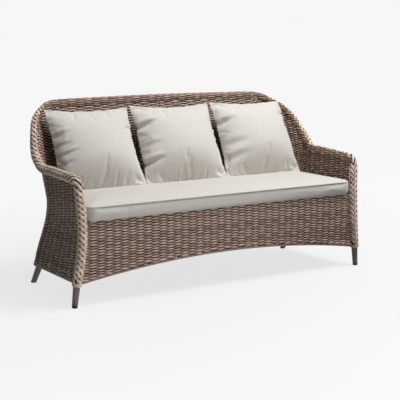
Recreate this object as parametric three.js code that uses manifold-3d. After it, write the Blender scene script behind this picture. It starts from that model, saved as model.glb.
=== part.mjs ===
// A woven garden sofa: a bent rim tube under a braided roll, woven panels on uprights,
// a seat frame with a woven deck, four tapered legs, one box seat cushion and three loose pillows.
// Millimetres, X along the sofa, Y from front to back, Z up, origin on the floor under the middle.
import * as THREE from 'three';
import { mergeVertices } from 'three/addons/utils/BufferGeometryUtils.js';
import Module from 'manifold-3d';

const wasm = await Module();
wasm.setup();

// Overall sizes
const sofaWidth = 1670;
const sofaDepth = 712;
const sofaHeight = 894;
const legHeight = 98;
const deckHeight = 386;

// Clearances
const gap = 0.3;
const boreGap = 0.4;
const wovenGap = 4;
const cutOverrun = 40;

// Rim: the tube and the braided roll round it
const rollDiameter = 48;
const rimTubeDiameter = 28;
const rimTubeWall = 2;
const postLean = 20;
const postBow = 16;
const postForwardBow = 13;
const bendRadius = 42;
const armFrontHeight = 596;
const armRearHeight = 616;
const armReach = 359;
const armBow = 6;
const earInset = 10;
const backTopInset = 211;
const topArch = 7;
const topBow = 7;
const rollSeamInset = 46;
// Each row: how far inboard, backward and up the wing of the rim has gone
const wingShares = [
  [-0.01, 0.084, 0.059], [-0.01, 0.21, 0.181], [0.045, 0.337, 0.343], [0.16, 0.5, 0.583],
  [0.284, 0.646, 0.734], [0.433, 0.772, 0.834], [0.602, 0.863, 0.908], [0.8, 0.96, 0.975],
];

// Woven panels and their bottom edge
const skinThickness = 13;
const weaveRelief = 5;
const skinInset = 8;
const rearTaper = 9;
const baseBackInset = 147;
const baseCornerRadius = 45;
const waistHeight = 425;
const waistBackInset = 232;
const waistCornerRadius = 88;
const waistEaseShare = 0.12;
const apronProud = 2;
const apronArch = 70;
const borderDiameter = 12;
const ringTubeDiameter = 10;
const uprightDiameter = 12;
const uprightSlack = 2;

// Seat frame
const railDiameter = 25;
const railWall = 2;
const bearerDiameter = 20;
const bearerSpacing = 380;
const deckThickness = 10;

// Legs
const rearPostDiameter = 18;
const legTopDiameter = 33;
const legFootDiameter = 27;
const legBore = 16;
const socketDepth = 25;
const socketEndGap = 3;
const frontLegRake = 3;
const rearLegRake = 68;
const rearLegSplay = 4;
const capHeight = 12;
const capDomeShares = [[1, 0.55], [0.9, 0.22], [0.7, 0.05], [0.45, 0]];
const capPegLength = 18;

// Seat cushion
const seatSideClearance = 5;
const seatRearClearance = 9;
const seatOverhang = 11;
const seatBoxing = 68;
const seatCrown = 24;
const seatCrownReach = 185;
const seatCrownPower = 2.4;
const seatCrownShares = [0, 0.12, 0.32, 0.6, 1];
const seatFrontRadius = 36;
const seatPull = 4;
const seatBulge = 3;
const seatEdgeRound = 7;
const coverWall = 4;
const pipingDiameter = 6;
const zipLength = 700;
const zipHeight = 5;
const zipThickness = 2;
const sliderLength = 12;
const sliderHeight = 9;
const sliderThickness = 2.4;
const pullerLength = 24;
const pullerWidth = 5;
const pullerThickness = 1.2;

// Pillows
const pillowSideRoom = 34.7;
const pillowHeight = 412;
const pillowDepth = 160;
const pillowLeanDegrees = 24.4;
const pillowPullShare = 0.05;
const pillowTaperShare = 0.02;
const pillowCrownPower = 0.42;
const pillowSpacing = 1;
const pillowBackRoom = 1.5;
const pillowSeam = 16;
const pillowSlotLength = 300;
const pillowSlotWidth = 1.2;
const leanStepShares = [0.8, 0.9, 0.96];

// Counts of facets
const rollSides = 10;
const tubeSides = 8;
const postSteps = 6;
const bendSteps = 3;
const armSteps = 3;
const backSteps = 3;
const rimSpanSteps = 8;
const panelRows = 9;
const sideColumns = 9;
const wingColumns = 8;
const backColumns = 13;
const apronColumns = 40;
const apronRows = 4;
const archSteps = 12;
const rearPostSteps = 4;
const legSides = 12;
const seatCornerSteps = 4;
const seatEdgeSteps = 4;
const coreCornerSteps = 2;
const coreEdgeSteps = 2;
const pipingSides = 5;
const pillowCells = 10;
const padCells = 6;

// Stations round the shell at which runs have a point:
// 0 to 1 is the side, 1 to 2 the corner, 2 to 3 the back
const runStationShares = [0.5, 1, 1.2, 1.4, 1.6, 1.8, 2, 2.5, 3];
const deckStationShares = [0, 1, 1.15, 1.3, 1.45, 1.6, 1.75, 1.9, 2, 3];

const rollRadius = rollDiameter / 2;
const rimTubeRadius = rimTubeDiameter / 2;
const postBaseX = sofaWidth / 2 - rollRadius;
const backTopHalfWidth = postBaseX - backTopInset;
const postBaseY = rollRadius + postForwardBow - sofaDepth / 2;
const bendStartHeight = armFrontHeight - rollRadius - bendRadius;
const rimBackY = sofaDepth / 2 - rollRadius;
const rimTopHeight = sofaHeight - rollRadius;

const paint = (colour, roughness, metalness) =>
  new THREE.MeshStandardMaterial({ color: colour, roughness, metalness });
const rattan = paint('#8f7b6c', 0.7, 0);
const braid = paint('#ab9684', 0.65, 0);
const metal = paint('#554a46', 0.45, 0.6);
const rubber = paint('#161515', 0.6, 0);
const fabric = paint('#d9d5ce', 0.95, 0);
const trim = paint('#c4bfb6', 0.9, 0);
const foam = paint('#efe6c8', 0.95, 0);
const zipMetal = paint('#8f8b84', 0.4, 0.7);

const vec = (x, y, z) => new THREE.Vector3(x, y, z);
const mix = THREE.MathUtils.lerp;

// A curve that is stepped from one given point to the next, however far apart they lie
class PointCurve extends THREE.CatmullRomCurve3 {
  constructor(points) {
    super(points, false, 'centripetal');
  }

  getUtoTmapping(u) {
    return u;
  }
}

// Turns a closed geometry into a solid that can be cut and joined
function toSolid(geometry) {
  const bare = geometry.clone();
  bare.deleteAttribute('normal');
  bare.deleteAttribute('uv');
  const merged = mergeVertices(bare);
  return new wasm.Manifold(new wasm.Mesh({
    numProp: 3,
    vertProperties: merged.attributes.position.array,
    triVerts: new Uint32Array(merged.index.array),
  }));
}

function toGeometry(solid) {
  const mesh = solid.getMesh();
  const geometry = new THREE.BufferGeometry();
  geometry.setAttribute('position', new THREE.BufferAttribute(mesh.vertProperties, 3));
  geometry.setIndex(new THREE.BufferAttribute(mesh.triVerts, 1));
  geometry.computeVertexNormals();
  return geometry;
}

// Builds a closed geometry from points and triangles, with its faces pointing out
function closedGeometry(points, triangles) {
  let volume = 0;
  for (const [a, b, c] of triangles) {
    volume += points[a].dot(points[b].clone().cross(points[c]));
  }
  const ordered = volume < 0 ? triangles.map(([a, b, c]) => [a, c, b]) : triangles;
  const geometry = new THREE.BufferGeometry().setFromPoints(points);
  geometry.setIndex(ordered.flat());
  const merged = mergeVertices(geometry);
  merged.computeVertexNormals();
  return merged;
}

const quad = (a, b, c, d) => [[a, b, c], [a, c, d]];

// A sheet between an outer and an inner face, both given by column and row shares.
// Both faces are split along the same diagonals, which turn from one cell to the next.
function sheet(columns, rows, outerPoint, innerPoint, hasWalls = true) {
  const points = [];
  const triangles = [];
  const faceSize = (columns + 1) * (rows + 1);
  for (const facePoint of [outerPoint, innerPoint]) {
    for (let column = 0; column <= columns; column += 1) {
      for (let row = 0; row <= rows; row += 1) points.push(facePoint(column / columns, row / rows));
    }
  }
  const at = (column, row) => column * (rows + 1) + row;
  for (let column = 0; column < columns; column += 1) {
    for (let row = 0; row < rows; row += 1) {
      const a = at(column, row);
      const b = at(column + 1, row);
      const c = at(column + 1, row + 1);
      const d = at(column, row + 1);
      const [p, q, r, s] = (column + row) % 2 === 0 ? [a, b, c, d] : [b, c, d, a];
      triangles.push(...quad(p, q, r, s));
      triangles.push(...quad(r + faceSize, q + faceSize, p + faceSize, s + faceSize));
    }
  }
  const wall = (a, b) => triangles.push(...quad(b, a, a + faceSize, b + faceSize));
  for (let column = 0; hasWalls && column < columns; column += 1) {
    wall(at(column, 0), at(column + 1, 0));
    wall(at(column + 1, rows), at(column, rows));
  }
  for (let row = 0; hasWalls && row < rows; row += 1) {
    wall(at(0, row + 1), at(0, row));
    wall(at(columns, row), at(columns, row + 1));
  }
  return closedGeometry(points, triangles);
}

// Joins closed rings of points into one body, either capped at both ends or joined end to end
function loft(rings, isLoop = false) {
  const size = rings[0].length;
  const points = rings.flat();
  const triangles = [];
  const bands = isLoop ? rings.length : rings.length - 1;
  for (let band = 0; band < bands; band += 1) {
    const lower = band * size;
    const upper = ((band + 1) % rings.length) * size;
    for (let i = 0; i < size; i += 1) {
      const next = (i + 1) % size;
      triangles.push(...quad(lower + i, lower + next, upper + next, upper + i));
    }
  }
  const caps = isLoop ? [] : [[rings[0], 0, true], [rings.at(-1), points.length - size, false]];
  for (const [ring, start, isFirst] of caps) {
    const centre = ring.reduce((sum, point) => sum.add(point), vec(0, 0, 0)).divideScalar(size);
    const hub = points.push(centre) - 1;
    for (let i = 0; i < size; i += 1) {
      const pair = [start + i, start + (i + 1) % size];
      triangles.push(isFirst ? [hub, pair[1], pair[0]] : [hub, pair[0], pair[1]]);
    }
  }
  return closedGeometry(points, triangles);
}

function circle(radius, sides) {
  const points = [];
  for (let i = 0; i < sides; i += 1) {
    const angle = (2 * Math.PI * i) / sides;
    points.push(new THREE.Vector2(radius * Math.cos(angle), radius * Math.sin(angle)));
  }
  return points;
}

// A round bar along a curve, hollow where a bore is given
function sweep(curve, radius, sides, boreRadius = 0) {
  const section = new THREE.Shape(circle(radius, sides));
  if (boreRadius > 0) section.holes.push(new THREE.Path(circle(boreRadius, sides)));
  const steps = curve.points ? curve.points.length - 1 : 1;
  const settings = { steps, extrudePath: curve, bevelEnabled: false };
  return toSolid(new THREE.ExtrudeGeometry(section, settings));
}

const straightBar = (start, end, radius, boreRadius = 0) =>
  sweep(new THREE.LineCurve3(start, end), radius, tubeSides, boreRadius);

const cutAway = (solid, cutters) => cutters.reduce((rest, cutter) => rest.subtract(cutter), solid);

function block(low, high) {
  const size = high.clone().sub(low);
  const geometry = new THREE.BoxGeometry(size.x, size.y, size.z);
  const middle = low.clone().add(high).divideScalar(2);
  return toSolid(geometry.translate(middle.x, middle.y, middle.z));
}

function addMesh(group, name, shape, material) {
  const geometry = shape.isBufferGeometry ? shape : toGeometry(shape);
  const mesh = new THREE.Mesh(geometry, material);
  mesh.name = name;
  group.add(mesh);
  return mesh;
}

const mirrored = (point) => vec(-point.x, point.y, point.z);
const sides = [['right', 1], ['left', -1]];
const onSide = (point, sign) => vec(point.x * sign, point.y, point.z);

// The centre line of the front post by its height
function postPoint(height) {
  const climb = (height - legHeight) / (bendStartHeight - legHeight);
  const bulge = Math.sin(Math.PI * climb);
  return vec(postBaseX - postLean * climb - postBow * bulge, postBaseY - postForwardBow * bulge, height);
}

const frontLegFoot = vec((sofaWidth - legFootDiameter) / 2, postBaseY + frontLegRake, 0);
const legAxis = (foot, top) => top.clone().sub(foot).normalize();
const socketEnd = (foot, top) =>
  top.clone().addScaledVector(legAxis(foot, top), socketEndGap - socketDepth);

// Points of the rim on the right side, from the leg socket to the middle of the back
function rimPoints() {
  const base = postPoint(legHeight);
  const points = [socketEnd(frontLegFoot, base)];
  for (let i = 0; i <= postSteps; i += 1) {
    points.push(postPoint(mix(legHeight, bendStartHeight, i / postSteps)));
  }
  const bendStart = points.at(-1);
  const wingStart = vec(postBaseX - earInset, postBaseY + armReach, armRearHeight - rollRadius);
  const armX = (y) => {
    const along = (y - bendStart.y) / (wingStart.y - bendStart.y);
    return mix(bendStart.x, wingStart.x, along) - armBow * Math.sin(Math.PI * along);
  };
  for (let i = 1; i <= bendSteps; i += 1) {
    const turn = (Math.PI / 2) * (i / bendSteps);
    const y = bendStart.y + bendRadius * (1 - Math.cos(turn));
    points.push(vec(armX(y), y, bendStart.z + bendRadius * Math.sin(turn)));
  }
  const armStart = points.at(-1);
  for (let i = 1; i <= armSteps; i += 1) {
    const y = mix(armStart.y, wingStart.y, i / armSteps);
    points.push(vec(armX(y), y, mix(armStart.z, wingStart.z, i / armSteps)));
  }
  const wingTop = vec(backTopHalfWidth, rimBackY - topBow, rimTopHeight - topArch);
  for (const [inboard, back, rise] of wingShares) {
    points.push(vec(mix(wingStart.x, wingTop.x, inboard), mix(wingStart.y, wingTop.y, back),
      mix(wingStart.z, wingTop.z, rise)));
  }
  for (let i = 0; i <= backSteps; i += 1) {
    const out = 1 - i / backSteps;
    const fall = out ** 2;
    points.push(vec(backTopHalfWidth * out, rimBackY - topBow * fall, rimTopHeight - topArch * fall));
  }
  return points;
}

const rightRim = rimPoints();
const leftRim = rightRim.slice(0, -1).reverse().map(mirrored);
const rimPath = new PointCurve([...rightRim, ...leftRim]);

// Stations along the right half of the shell: 0 at the top of the post, then the end of the side,
// the end of the rounded wing and the middle of the back
const sideEnd = 1;
const wingEnd = 2;
const backMiddle = 3;
const bendStartIndex = postSteps + 1;
const wingStartIndex = bendStartIndex + bendSteps + armSteps;
const wingEndIndex = wingStartIndex + wingShares.length + 1;
const stationIndexes = [bendStartIndex, wingStartIndex, wingEndIndex, wingEndIndex + backSteps];
const rimLine = new THREE.CatmullRomCurve3(rimPath.points, false, 'centripetal');
const rimLengths = rimLine.getLengths(rimSpanSteps * (rimPath.points.length - 1));
const stationLengths = stationIndexes.map((index) => rimLengths[index * rimSpanSteps] / rimLengths.at(-1));

function rimAt(station) {
  const part = Math.min(Math.floor(station), stationLengths.length - 2);
  return rimLine.getPointAt(mix(stationLengths[part], stationLengths[part + 1], station - part));
}

const outwardAngle = (station) => (Math.PI / 2) * THREE.MathUtils.clamp(station - sideEnd, 0, 1);

// The plan of the shell at one level: a straight side, a round corner and a straight back
function planPoint(station, frontY, frontX, sideX, backY, radius) {
  const centre = new THREE.Vector2(sideX - radius, backY - radius);
  if (station <= sideEnd) {
    return new THREE.Vector2(mix(frontX, sideX, station), mix(frontY, centre.y, station));
  }
  if (station >= wingEnd) return new THREE.Vector2(centre.x * (backMiddle - station), backY);
  const angle = outwardAngle(station);
  return new THREE.Vector2(centre.x + radius * Math.cos(angle), centre.y + radius * Math.sin(angle));
}

// A steady slope with a soft start
function softStart(share) {
  const steady = 1 - waistEaseShare / 2;
  if (share < waistEaseShare) return share ** 2 / (2 * waistEaseShare * steady);
  return (share - waistEaseShare / 2) / steady;
}

const waistPost = postPoint(waistHeight);
const waistHalfWidth = waistPost.x - skinInset;
const waistBackY = sofaDepth / 2 - waistBackInset;
const baseBackY = sofaDepth / 2 - baseBackInset;

// A point of the shell on the right: its station, its height and its depth under the outer face
function shellPoint(station, height, depth) {
  const angle = outwardAngle(station);
  const outward = new THREE.Vector2(Math.cos(angle), Math.sin(angle));
  const waistX = waistHalfWidth;
  const waist = planPoint(station, waistPost.y, waistX, waistX, waistBackY, waistCornerRadius);
  let plan = waist;
  if (height < waistHeight) {
    const frontX = postBaseX - skinInset;
    const base = planPoint(station, postBaseY, frontX, frontX - rearTaper, baseBackY, baseCornerRadius);
    const climb = Math.max(0, (height - legHeight) / (waistHeight - legHeight));
    const x = mix(base.x, waist.x, Math.sin((Math.PI / 2) * climb));
    plan = new THREE.Vector2(x, mix(base.y, waist.y, (1 - Math.cos(Math.PI * climb)) / 2));
  } else {
    const rim = rimAt(station);
    const top = new THREE.Vector2(rim.x, rim.y).addScaledVector(outward, -skinInset);
    plan = waist.clone().lerp(top, softStart((height - waistHeight) / (rim.z - waistHeight)));
  }
  plan.addScaledVector(outward, -depth);
  return vec(plan.x, plan.y, height);
}

const borderHeight = legHeight + borderDiameter / 2;
const ringHeight = legHeight + borderDiameter + gap + ringTubeDiameter / 2;
const skinLowHeight = ringHeight + ringTubeDiameter / 2 + gap;
const middleDepth = skinThickness / 2;

// Solids of the rim that other pieces are cut by
const rollCutter = sweep(rimPath, rollRadius + gap, rollSides);
const rimTubeCutter = sweep(rimPath, rimTubeRadius + gap, tubeSides);

// Front panel: how high its arched lower edge stands at one place across the sofa
const archHeight = (x) => apronArch * (1 - (x / postBaseX) ** 2);
const apronPoint = (x, height, depth) => vec(x, postPoint(height).y - apronProud + depth, height);

function archCurve(above, depth, halfSpan) {
  const points = [];
  for (let i = 0; i <= archSteps; i += 1) {
    const x = mix(-halfSpan, halfSpan, i / archSteps);
    points.push(apronPoint(x, above + archHeight(x), depth));
  }
  return new PointCurve(points);
}

// A run round the sides and the back at one height
function shellRun(height, depth, startStation) {
  const stations = [startStation, ...runStationShares];
  const right = stations.map((station) => shellPoint(station, height, depth));
  return new PointCurve([...right, ...right.slice(0, -1).reverse().map(mirrored)]);
}

// Tubes that run into the braided roll
const frontTube = archCurve(ringHeight, middleDepth, postBaseX);
const ringCurve = shellRun(ringHeight, middleDepth, middleDepth / (armReach + skinInset));
const railHeight = deckHeight - deckThickness - gap - railDiameter / 2;
const railPost = postPoint(railHeight);
const railY = railPost.y + rimTubeRadius + gap + railDiameter / 2;
const frontRailEnd = vec(railPost.x, railY, railHeight);
const uprightPlaces = [
  ['wing_upright_right', sideEnd, 1], ['back_upright_right', wingEnd, 1],
  ['back_upright_centre', backMiddle, 1], ['back_upright_left', wingEnd, -1],
  ['wing_upright_left', sideEnd, -1],
];

function uprightCurve(station, sign, extraLength = 0) {
  const points = [];
  for (let i = 0; i <= panelRows; i += 1) {
    const height = mix(skinLowHeight, rimAt(station).z, i / panelRows);
    points.push(onSide(shellPoint(station, height, middleDepth), sign));
  }
  const below = onSide(shellPoint(station, skinLowHeight - extraLength, middleDepth), sign);
  return new PointCurve(extraLength > 0 ? [below, ...points] : points);
}

const frontTubeCutter = sweep(frontTube, ringTubeDiameter / 2 + gap, tubeSides);
const ringCutter = sweep(ringCurve, ringTubeDiameter / 2 + gap, tubeSides);
const frontRailCutter = straightBar(mirrored(frontRailEnd), frontRailEnd, railDiameter / 2 + gap);
const uprightRadius = uprightDiameter / 2;
const uprightSlots = uprightPlaces.map(([, station, sign]) =>
  sweep(uprightCurve(station, sign), uprightRadius + gap, tubeSides));
const panelSlotRadius = skinThickness / 2 + uprightSlack + gap;
const panelSlots = uprightPlaces.map(([, station, sign]) =>
  sweep(uprightCurve(station, sign, ringTubeDiameter), panelSlotRadius, tubeSides));

// The bent tube, and the braided roll in three lengths round it
function addRim(group) {
  const tube = sweep(rimPath, rimTubeRadius, tubeSides, rimTubeRadius - rimTubeWall);
  addMesh(group, 'rim_tube', tube, metal);
  const bore = sweep(rimPath, rimTubeRadius + boreGap, tubeSides);
  const whole = cutAway(sweep(rimPath, rollRadius, rollSides),
    [bore, frontTubeCutter, ringCutter, frontRailCutter, ...uprightSlots]);
  const reach = sofaWidth / 2 + cutOverrun;
  const top = sofaHeight + cutOverrun;
  const seam = backTopHalfWidth - rollSeamInset;
  const back = block(vec(-seam, -reach, legHeight), vec(seam, reach, top));
  addMesh(group, 'braided_roll_back', whole.intersect(back), braid);
  for (const [side, sign] of sides) {
    const ends = [sign * (seam + gap), sign * reach].sort((a, b) => a - b);
    const half = block(vec(ends[0], -reach, legHeight), vec(ends[1], reach, top));
    addMesh(group, `braided_roll_${side}`, whole.intersect(half), braid);
  }
}

// The tubes of the lower edge, the rope trim under them and the uprights
function addLowerEdge(group) {
  const ringRadius = ringTubeDiameter / 2;
  const front = sweep(frontTube, ringRadius, tubeSides).subtract(rimTubeCutter);
  addMesh(group, 'front_bottom_tube', front, metal);
  const ring = cutAway(sweep(ringCurve, ringRadius, tubeSides), [frontTubeCutter, rimTubeCutter]);
  addMesh(group, 'bottom_ring_tube', ring, metal);
  const borderRadius = borderDiameter / 2;
  const ropes = [['front', archCurve(borderHeight, middleDepth, postBaseX)],
    ['rear', shellRun(borderHeight, middleDepth, middleDepth / armReach)]];
  for (const [place, curve] of ropes) {
    const rope = sweep(curve, borderRadius, tubeSides).subtract(rollCutter);
    addMesh(group, `border_rope_${place}`, rope, braid);
  }
  for (const [name, station, sign] of uprightPlaces) {
    const upright = sweep(uprightCurve(station, sign), uprightRadius, tubeSides);
    addMesh(group, name, cutAway(upright, [rimTubeCutter, ringCutter]), metal);
  }
}

// The weave's main relief: proud at one stake and sunk at the next, the other way in the next band of rows
const weaveSink = (across, columns, up, rows) =>
  weaveRelief * ((Math.round(across * columns) + Math.round(up * rows) + 1) % 2);
const weaveThickness = skinThickness - weaveRelief;

// One woven panel between two stations, up to the roll, with a column at each stake
function shellPanel(startStation, endStation, columns, sign) {
  const face = (depth) => (across, up) => {
    const station = mix(startStation, endStation, across);
    const height = mix(skinLowHeight, rimAt(station).z, up);
    const sunk = depth + weaveSink(across, columns, up, panelRows);
    return onSide(shellPoint(station, height, sunk), sign);
  };
  return toSolid(sheet(columns, panelRows, face(0), face(weaveThickness)));
}

function addPanels(group) {
  const cutters = [rollCutter, frontRailCutter, ...panelSlots];
  for (const [side, sign] of sides) {
    const panels = [['side', 0, sideEnd, sideColumns], ['wing', sideEnd, wingEnd, wingColumns],
      ['back', wingEnd, backMiddle, backColumns]];
    for (const [place, start, end, columns] of panels) {
      const panel = cutAway(shellPanel(start, end, columns, sign), cutters);
      addMesh(group, `woven_${place}_${side}`, panel, rattan);
    }
  }
  const halfSpan = (height) => shellPoint(0, height, skinThickness).x - gap;
  const face = (depth) => (across, up) => {
    const lean = 2 * across - 1;
    const lowest = skinLowHeight + archHeight(lean * waistHalfWidth);
    const height = mix(lowest, deckHeight, up);
    const sunk = depth + weaveSink(across, apronColumns, up, apronRows);
    return apronPoint(lean * halfSpan(height), height, sunk);
  };
  const apron = toSolid(sheet(apronColumns, apronRows, face(0), face(weaveThickness)));
  addMesh(group, 'woven_apron', apron.subtract(rollCutter), rattan);
}

// Rear post: up from its leg inside the corner of the shell, to just under the deck
const rearPostRadius = rearPostDiameter / 2;
const rearPostDepth = skinThickness + wovenGap + rearPostRadius;
const cornerStation = (sideEnd + wingEnd) / 2;
const rearPostAt = (height) => shellPoint(cornerStation, height, rearPostDepth);
const rearLegTop = rearPostAt(legHeight);
const rearLegFoot = vec(rearLegTop.x + rearLegSplay, rearLegTop.y + rearLegRake, 0);

function rearPostCurve(sign) {
  const points = [socketEnd(rearLegFoot, rearLegTop)];
  for (let i = 0; i <= rearPostSteps; i += 1) {
    points.push(rearPostAt(mix(legHeight, deckHeight, i / rearPostSteps)));
  }
  return new PointCurve(points.map((point) => onSide(point, sign)));
}

// Seat rails, cross bearers and the woven deck on them
function addSeatFrame(group) {
  const railRadius = railDiameter / 2;
  const railBore = railRadius - railWall;
  const frontRail = straightBar(mirrored(frontRailEnd), frontRailEnd, railRadius, railBore);
  addMesh(group, 'front_seat_rail', frontRail, metal);
  const postCutters = sides.map(([, sign]) => sweep(rearPostCurve(sign), rearPostRadius + gap, tubeSides));
  const rearEnd = rearPostAt(railHeight);
  const sideRailX = shellPoint(0, railHeight, skinThickness + wovenGap + railRadius).x;
  const sideCutters = [];
  const reach = sofaWidth / 2;
  const deckSpace = block(vec(-reach, -reach, deckHeight - deckThickness - gap),
    vec(reach, reach, deckHeight + cutOverrun));
  for (const [side, sign] of sides) {
    const start = onSide(vec(sideRailX, railY, railHeight), sign);
    const end = onSide(rearEnd, sign);
    const rail = cutAway(straightBar(start, end, railRadius, railBore), [frontRailCutter, ...postCutters]);
    addMesh(group, `side_seat_rail_${side}`, rail, metal);
    sideCutters.push(straightBar(start, end, railRadius + gap));
    const post = sweep(rearPostCurve(sign), rearPostRadius, tubeSides).subtract(deckSpace);
    addMesh(group, `rear_post_${side}`, post, metal);
  }
  const backRail = straightBar(mirrored(rearEnd), rearEnd, railRadius, railBore);
  addMesh(group, 'back_seat_rail', cutAway(backRail, [...postCutters, ...sideCutters]), metal);
  const backCutter = straightBar(mirrored(rearEnd), rearEnd, railRadius + gap);
  const bearers = [['left', -bearerSpacing], ['centre', 0], ['right', bearerSpacing]];
  for (const [place, x] of bearers) {
    const bearerRadius = bearerDiameter / 2;
    const ends = [vec(x, railY, railHeight), vec(x, rearEnd.y, railHeight)];
    const bearer = straightBar(...ends, bearerRadius, bearerRadius - railWall);
    addMesh(group, `seat_bearer_${place}`, cutAway(bearer, [frontRailCutter, backCutter]), metal);
  }
  addDeck(group);
}

function addDeck(group) {
  const inside = skinThickness + wovenGap;
  const frontY = apronPoint(0, deckHeight, inside).y;
  const right = deckStationShares.map((station) => shellPoint(station, deckHeight, inside + gap));
  right[0].y = frontY;
  const outline = [...right, ...right.slice(0, -1).reverse().map(mirrored)];
  const shape = new THREE.Shape(outline.map((point) => new THREE.Vector2(point.x, point.y)));
  const deck = new THREE.ExtrudeGeometry(shape, { depth: deckThickness, bevelEnabled: false });
  addMesh(group, 'woven_seat_deck', toSolid(deck.translate(0, 0, deckHeight - deckThickness)), rattan);
}

// Turns a lathe shape, made upright, onto the line from one point to another
function along(profile, foot, top) {
  const geometry = new THREE.LatheGeometry(profile.map(([r, y]) => new THREE.Vector2(r, y)), legSides);
  const turn = new THREE.Quaternion().setFromUnitVectors(vec(0, 1, 0), legAxis(foot, top));
  return toSolid(geometry.applyQuaternion(turn).translate(foot.x, foot.y, foot.z));
}

// A tapered leg round the tube that stands in it, and its rounded cap, which is let down along a raked leg
// until the floor cuts it level
function addLeg(group, place, foot, top, tubeRadius) {
  const length = top.distanceTo(foot);
  const topRadius = legTopDiameter / 2;
  const footRadius = legFootDiameter / 2;
  const boreRadius = legBore / 2;
  const socketRadius = (tubeRadius + boreGap) / Math.cos(Math.PI / legSides);
  const socketFloor = length - socketDepth;
  const high = length + cutOverrun;
  const profile = [
    [boreRadius, capHeight + gap], [footRadius, capHeight + gap], [topRadius, length],
    [topRadius, high], [socketRadius, high], [socketRadius, socketFloor],
    [boreRadius, socketFloor], [boreRadius, capHeight + gap],
  ];
  const reach = sofaWidth;
  const below = block(vec(-reach, -reach, -cutOverrun), vec(reach, reach, legHeight - gap));
  addMesh(group, `leg_${place}`, along(profile, foot, top).intersect(below), metal);
  const pegRadius = boreRadius - boreGap;
  const pegTop = capHeight + capPegLength;
  const drop = footRadius * Math.tan(legAxis(foot, top).angleTo(vec(0, 0, 1)));
  const dome = capDomeShares.map(([out, up]) => [footRadius * out, capHeight * up - drop]).reverse();
  const cap = [[0, -drop], ...dome, [footRadius, capHeight], [pegRadius, capHeight], [pegRadius, pegTop],
    [0, pegTop]];
  const above = block(vec(-reach, -reach, 0), vec(reach, reach, legHeight));
  addMesh(group, `foot_cap_${place}`, along(cap, foot, top).intersect(above), rubber);
}

function addLegs(group) {
  for (const [side, sign] of sides) {
    const frontTop = onSide(postPoint(legHeight), sign);
    addLeg(group, `front_${side}`, onSide(frontLegFoot, sign), frontTop, rimTubeRadius);
    addLeg(group, `rear_${side}`, onSide(rearLegFoot, sign), onSide(rearLegTop, sign), rearPostRadius);
  }
}

// Seat cushion: a boxed cover with a crowned top, piped edges and a zip behind, round a foam core
const seatLow = deckHeight + gap;
const seatSeam = seatLow + seatBoxing;
const seatMiddle = (seatLow + seatSeam) / 2;
const narrowestPost = Math.min(postPoint(seatLow).x, postPoint(seatMiddle).x, postPoint(seatSeam).x);
const seatHalfWidth = narrowestPost - rollRadius - seatSideClearance;
const seatFrontY = apronPoint(0, deckHeight, 0).y - seatOverhang;
const seatBackY = waistBackY - skinThickness - seatRearClearance;
const seatRearRadius = waistCornerRadius - skinThickness;
const seatCorners = [
  [1, -1, seatFrontRadius, seatPull], [1, 1, seatRearRadius, 0],
  [-1, 1, seatRearRadius, seatPull], [-1, -1, seatFrontRadius, seatPull],
];

// One ring of the cushion, set in from its outline; its front and sides are drawn in between corners
function seatRing(inset, height, cornerSteps, edgeSteps) {
  const arcs = seatCorners.map(([towardsX, towardsY, fullRadius], corner) => {
    const radius = Math.max(fullRadius - inset, seatEdgeRound);
    const x = towardsX * (seatHalfWidth - inset - radius);
    const y = towardsY > 0 ? seatBackY - inset - radius : seatFrontY + inset + radius;
    const arc = [];
    for (let i = 0; i <= cornerSteps; i += 1) {
      const angle = (Math.PI / 2) * (corner - 1 + i / cornerSteps);
      arc.push(vec(x + radius * Math.cos(angle), y + radius * Math.sin(angle), height));
    }
    return arc;
  });
  return arcs.flatMap((arc, corner) => {
    const next = arcs[(corner + 1) % arcs.length][0];
    const angle = (Math.PI / 2) * corner;
    const edge = [];
    for (let i = 1; i < edgeSteps; i += 1) {
      const pull = seatCorners[corner][3] * (1 - (2 * (i / edgeSteps) - 1) ** 2);
      const drawn = vec(-pull * Math.cos(angle), -pull * Math.sin(angle), 0);
      edge.push(arc.at(-1).clone().lerp(next, i / edgeSteps).add(drawn));
    }
    return [...arc, ...edge];
  });
}

const seatCrownAt = (share) => seatCrown * (1 - (1 - share) ** seatCrownPower);

// The cushion's form at one depth under its surface
function seatForm(depth, bulge, cornerSteps, edgeSteps) {
  const ring = (inset, height) => seatRing(inset, height, cornerSteps, edgeSteps);
  const underside = ring(seatEdgeRound + depth, seatLow + depth);
  const rings = [underside, ring(depth, seatLow + seatEdgeRound + depth)];
  if (bulge > 0) rings.push(ring(-bulge, seatMiddle));
  rings.push(ring(depth, seatSeam - seatEdgeRound - depth));
  for (const share of seatCrownShares) {
    const inset = seatEdgeRound + depth + share * seatCrownReach;
    rings.push(ring(inset, seatSeam - depth + seatCrownAt(share)));
  }
  return toSolid(loft(rings));
}

// A cord of piping round the cushion, seated on its bevelled edge and level with its flat face
function piping(height, upward) {
  const radius = pipingDiameter / 2;
  const inset = seatEdgeRound - radius - (radius + gap) * Math.SQRT2;
  const middle = height - upward * radius;
  const rings = circle(radius, pipingSides).map((point) =>
    seatRing(inset + point.x, middle + point.y, seatCornerSteps, seatEdgeSteps));
  return loft(rings, true);
}

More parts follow.
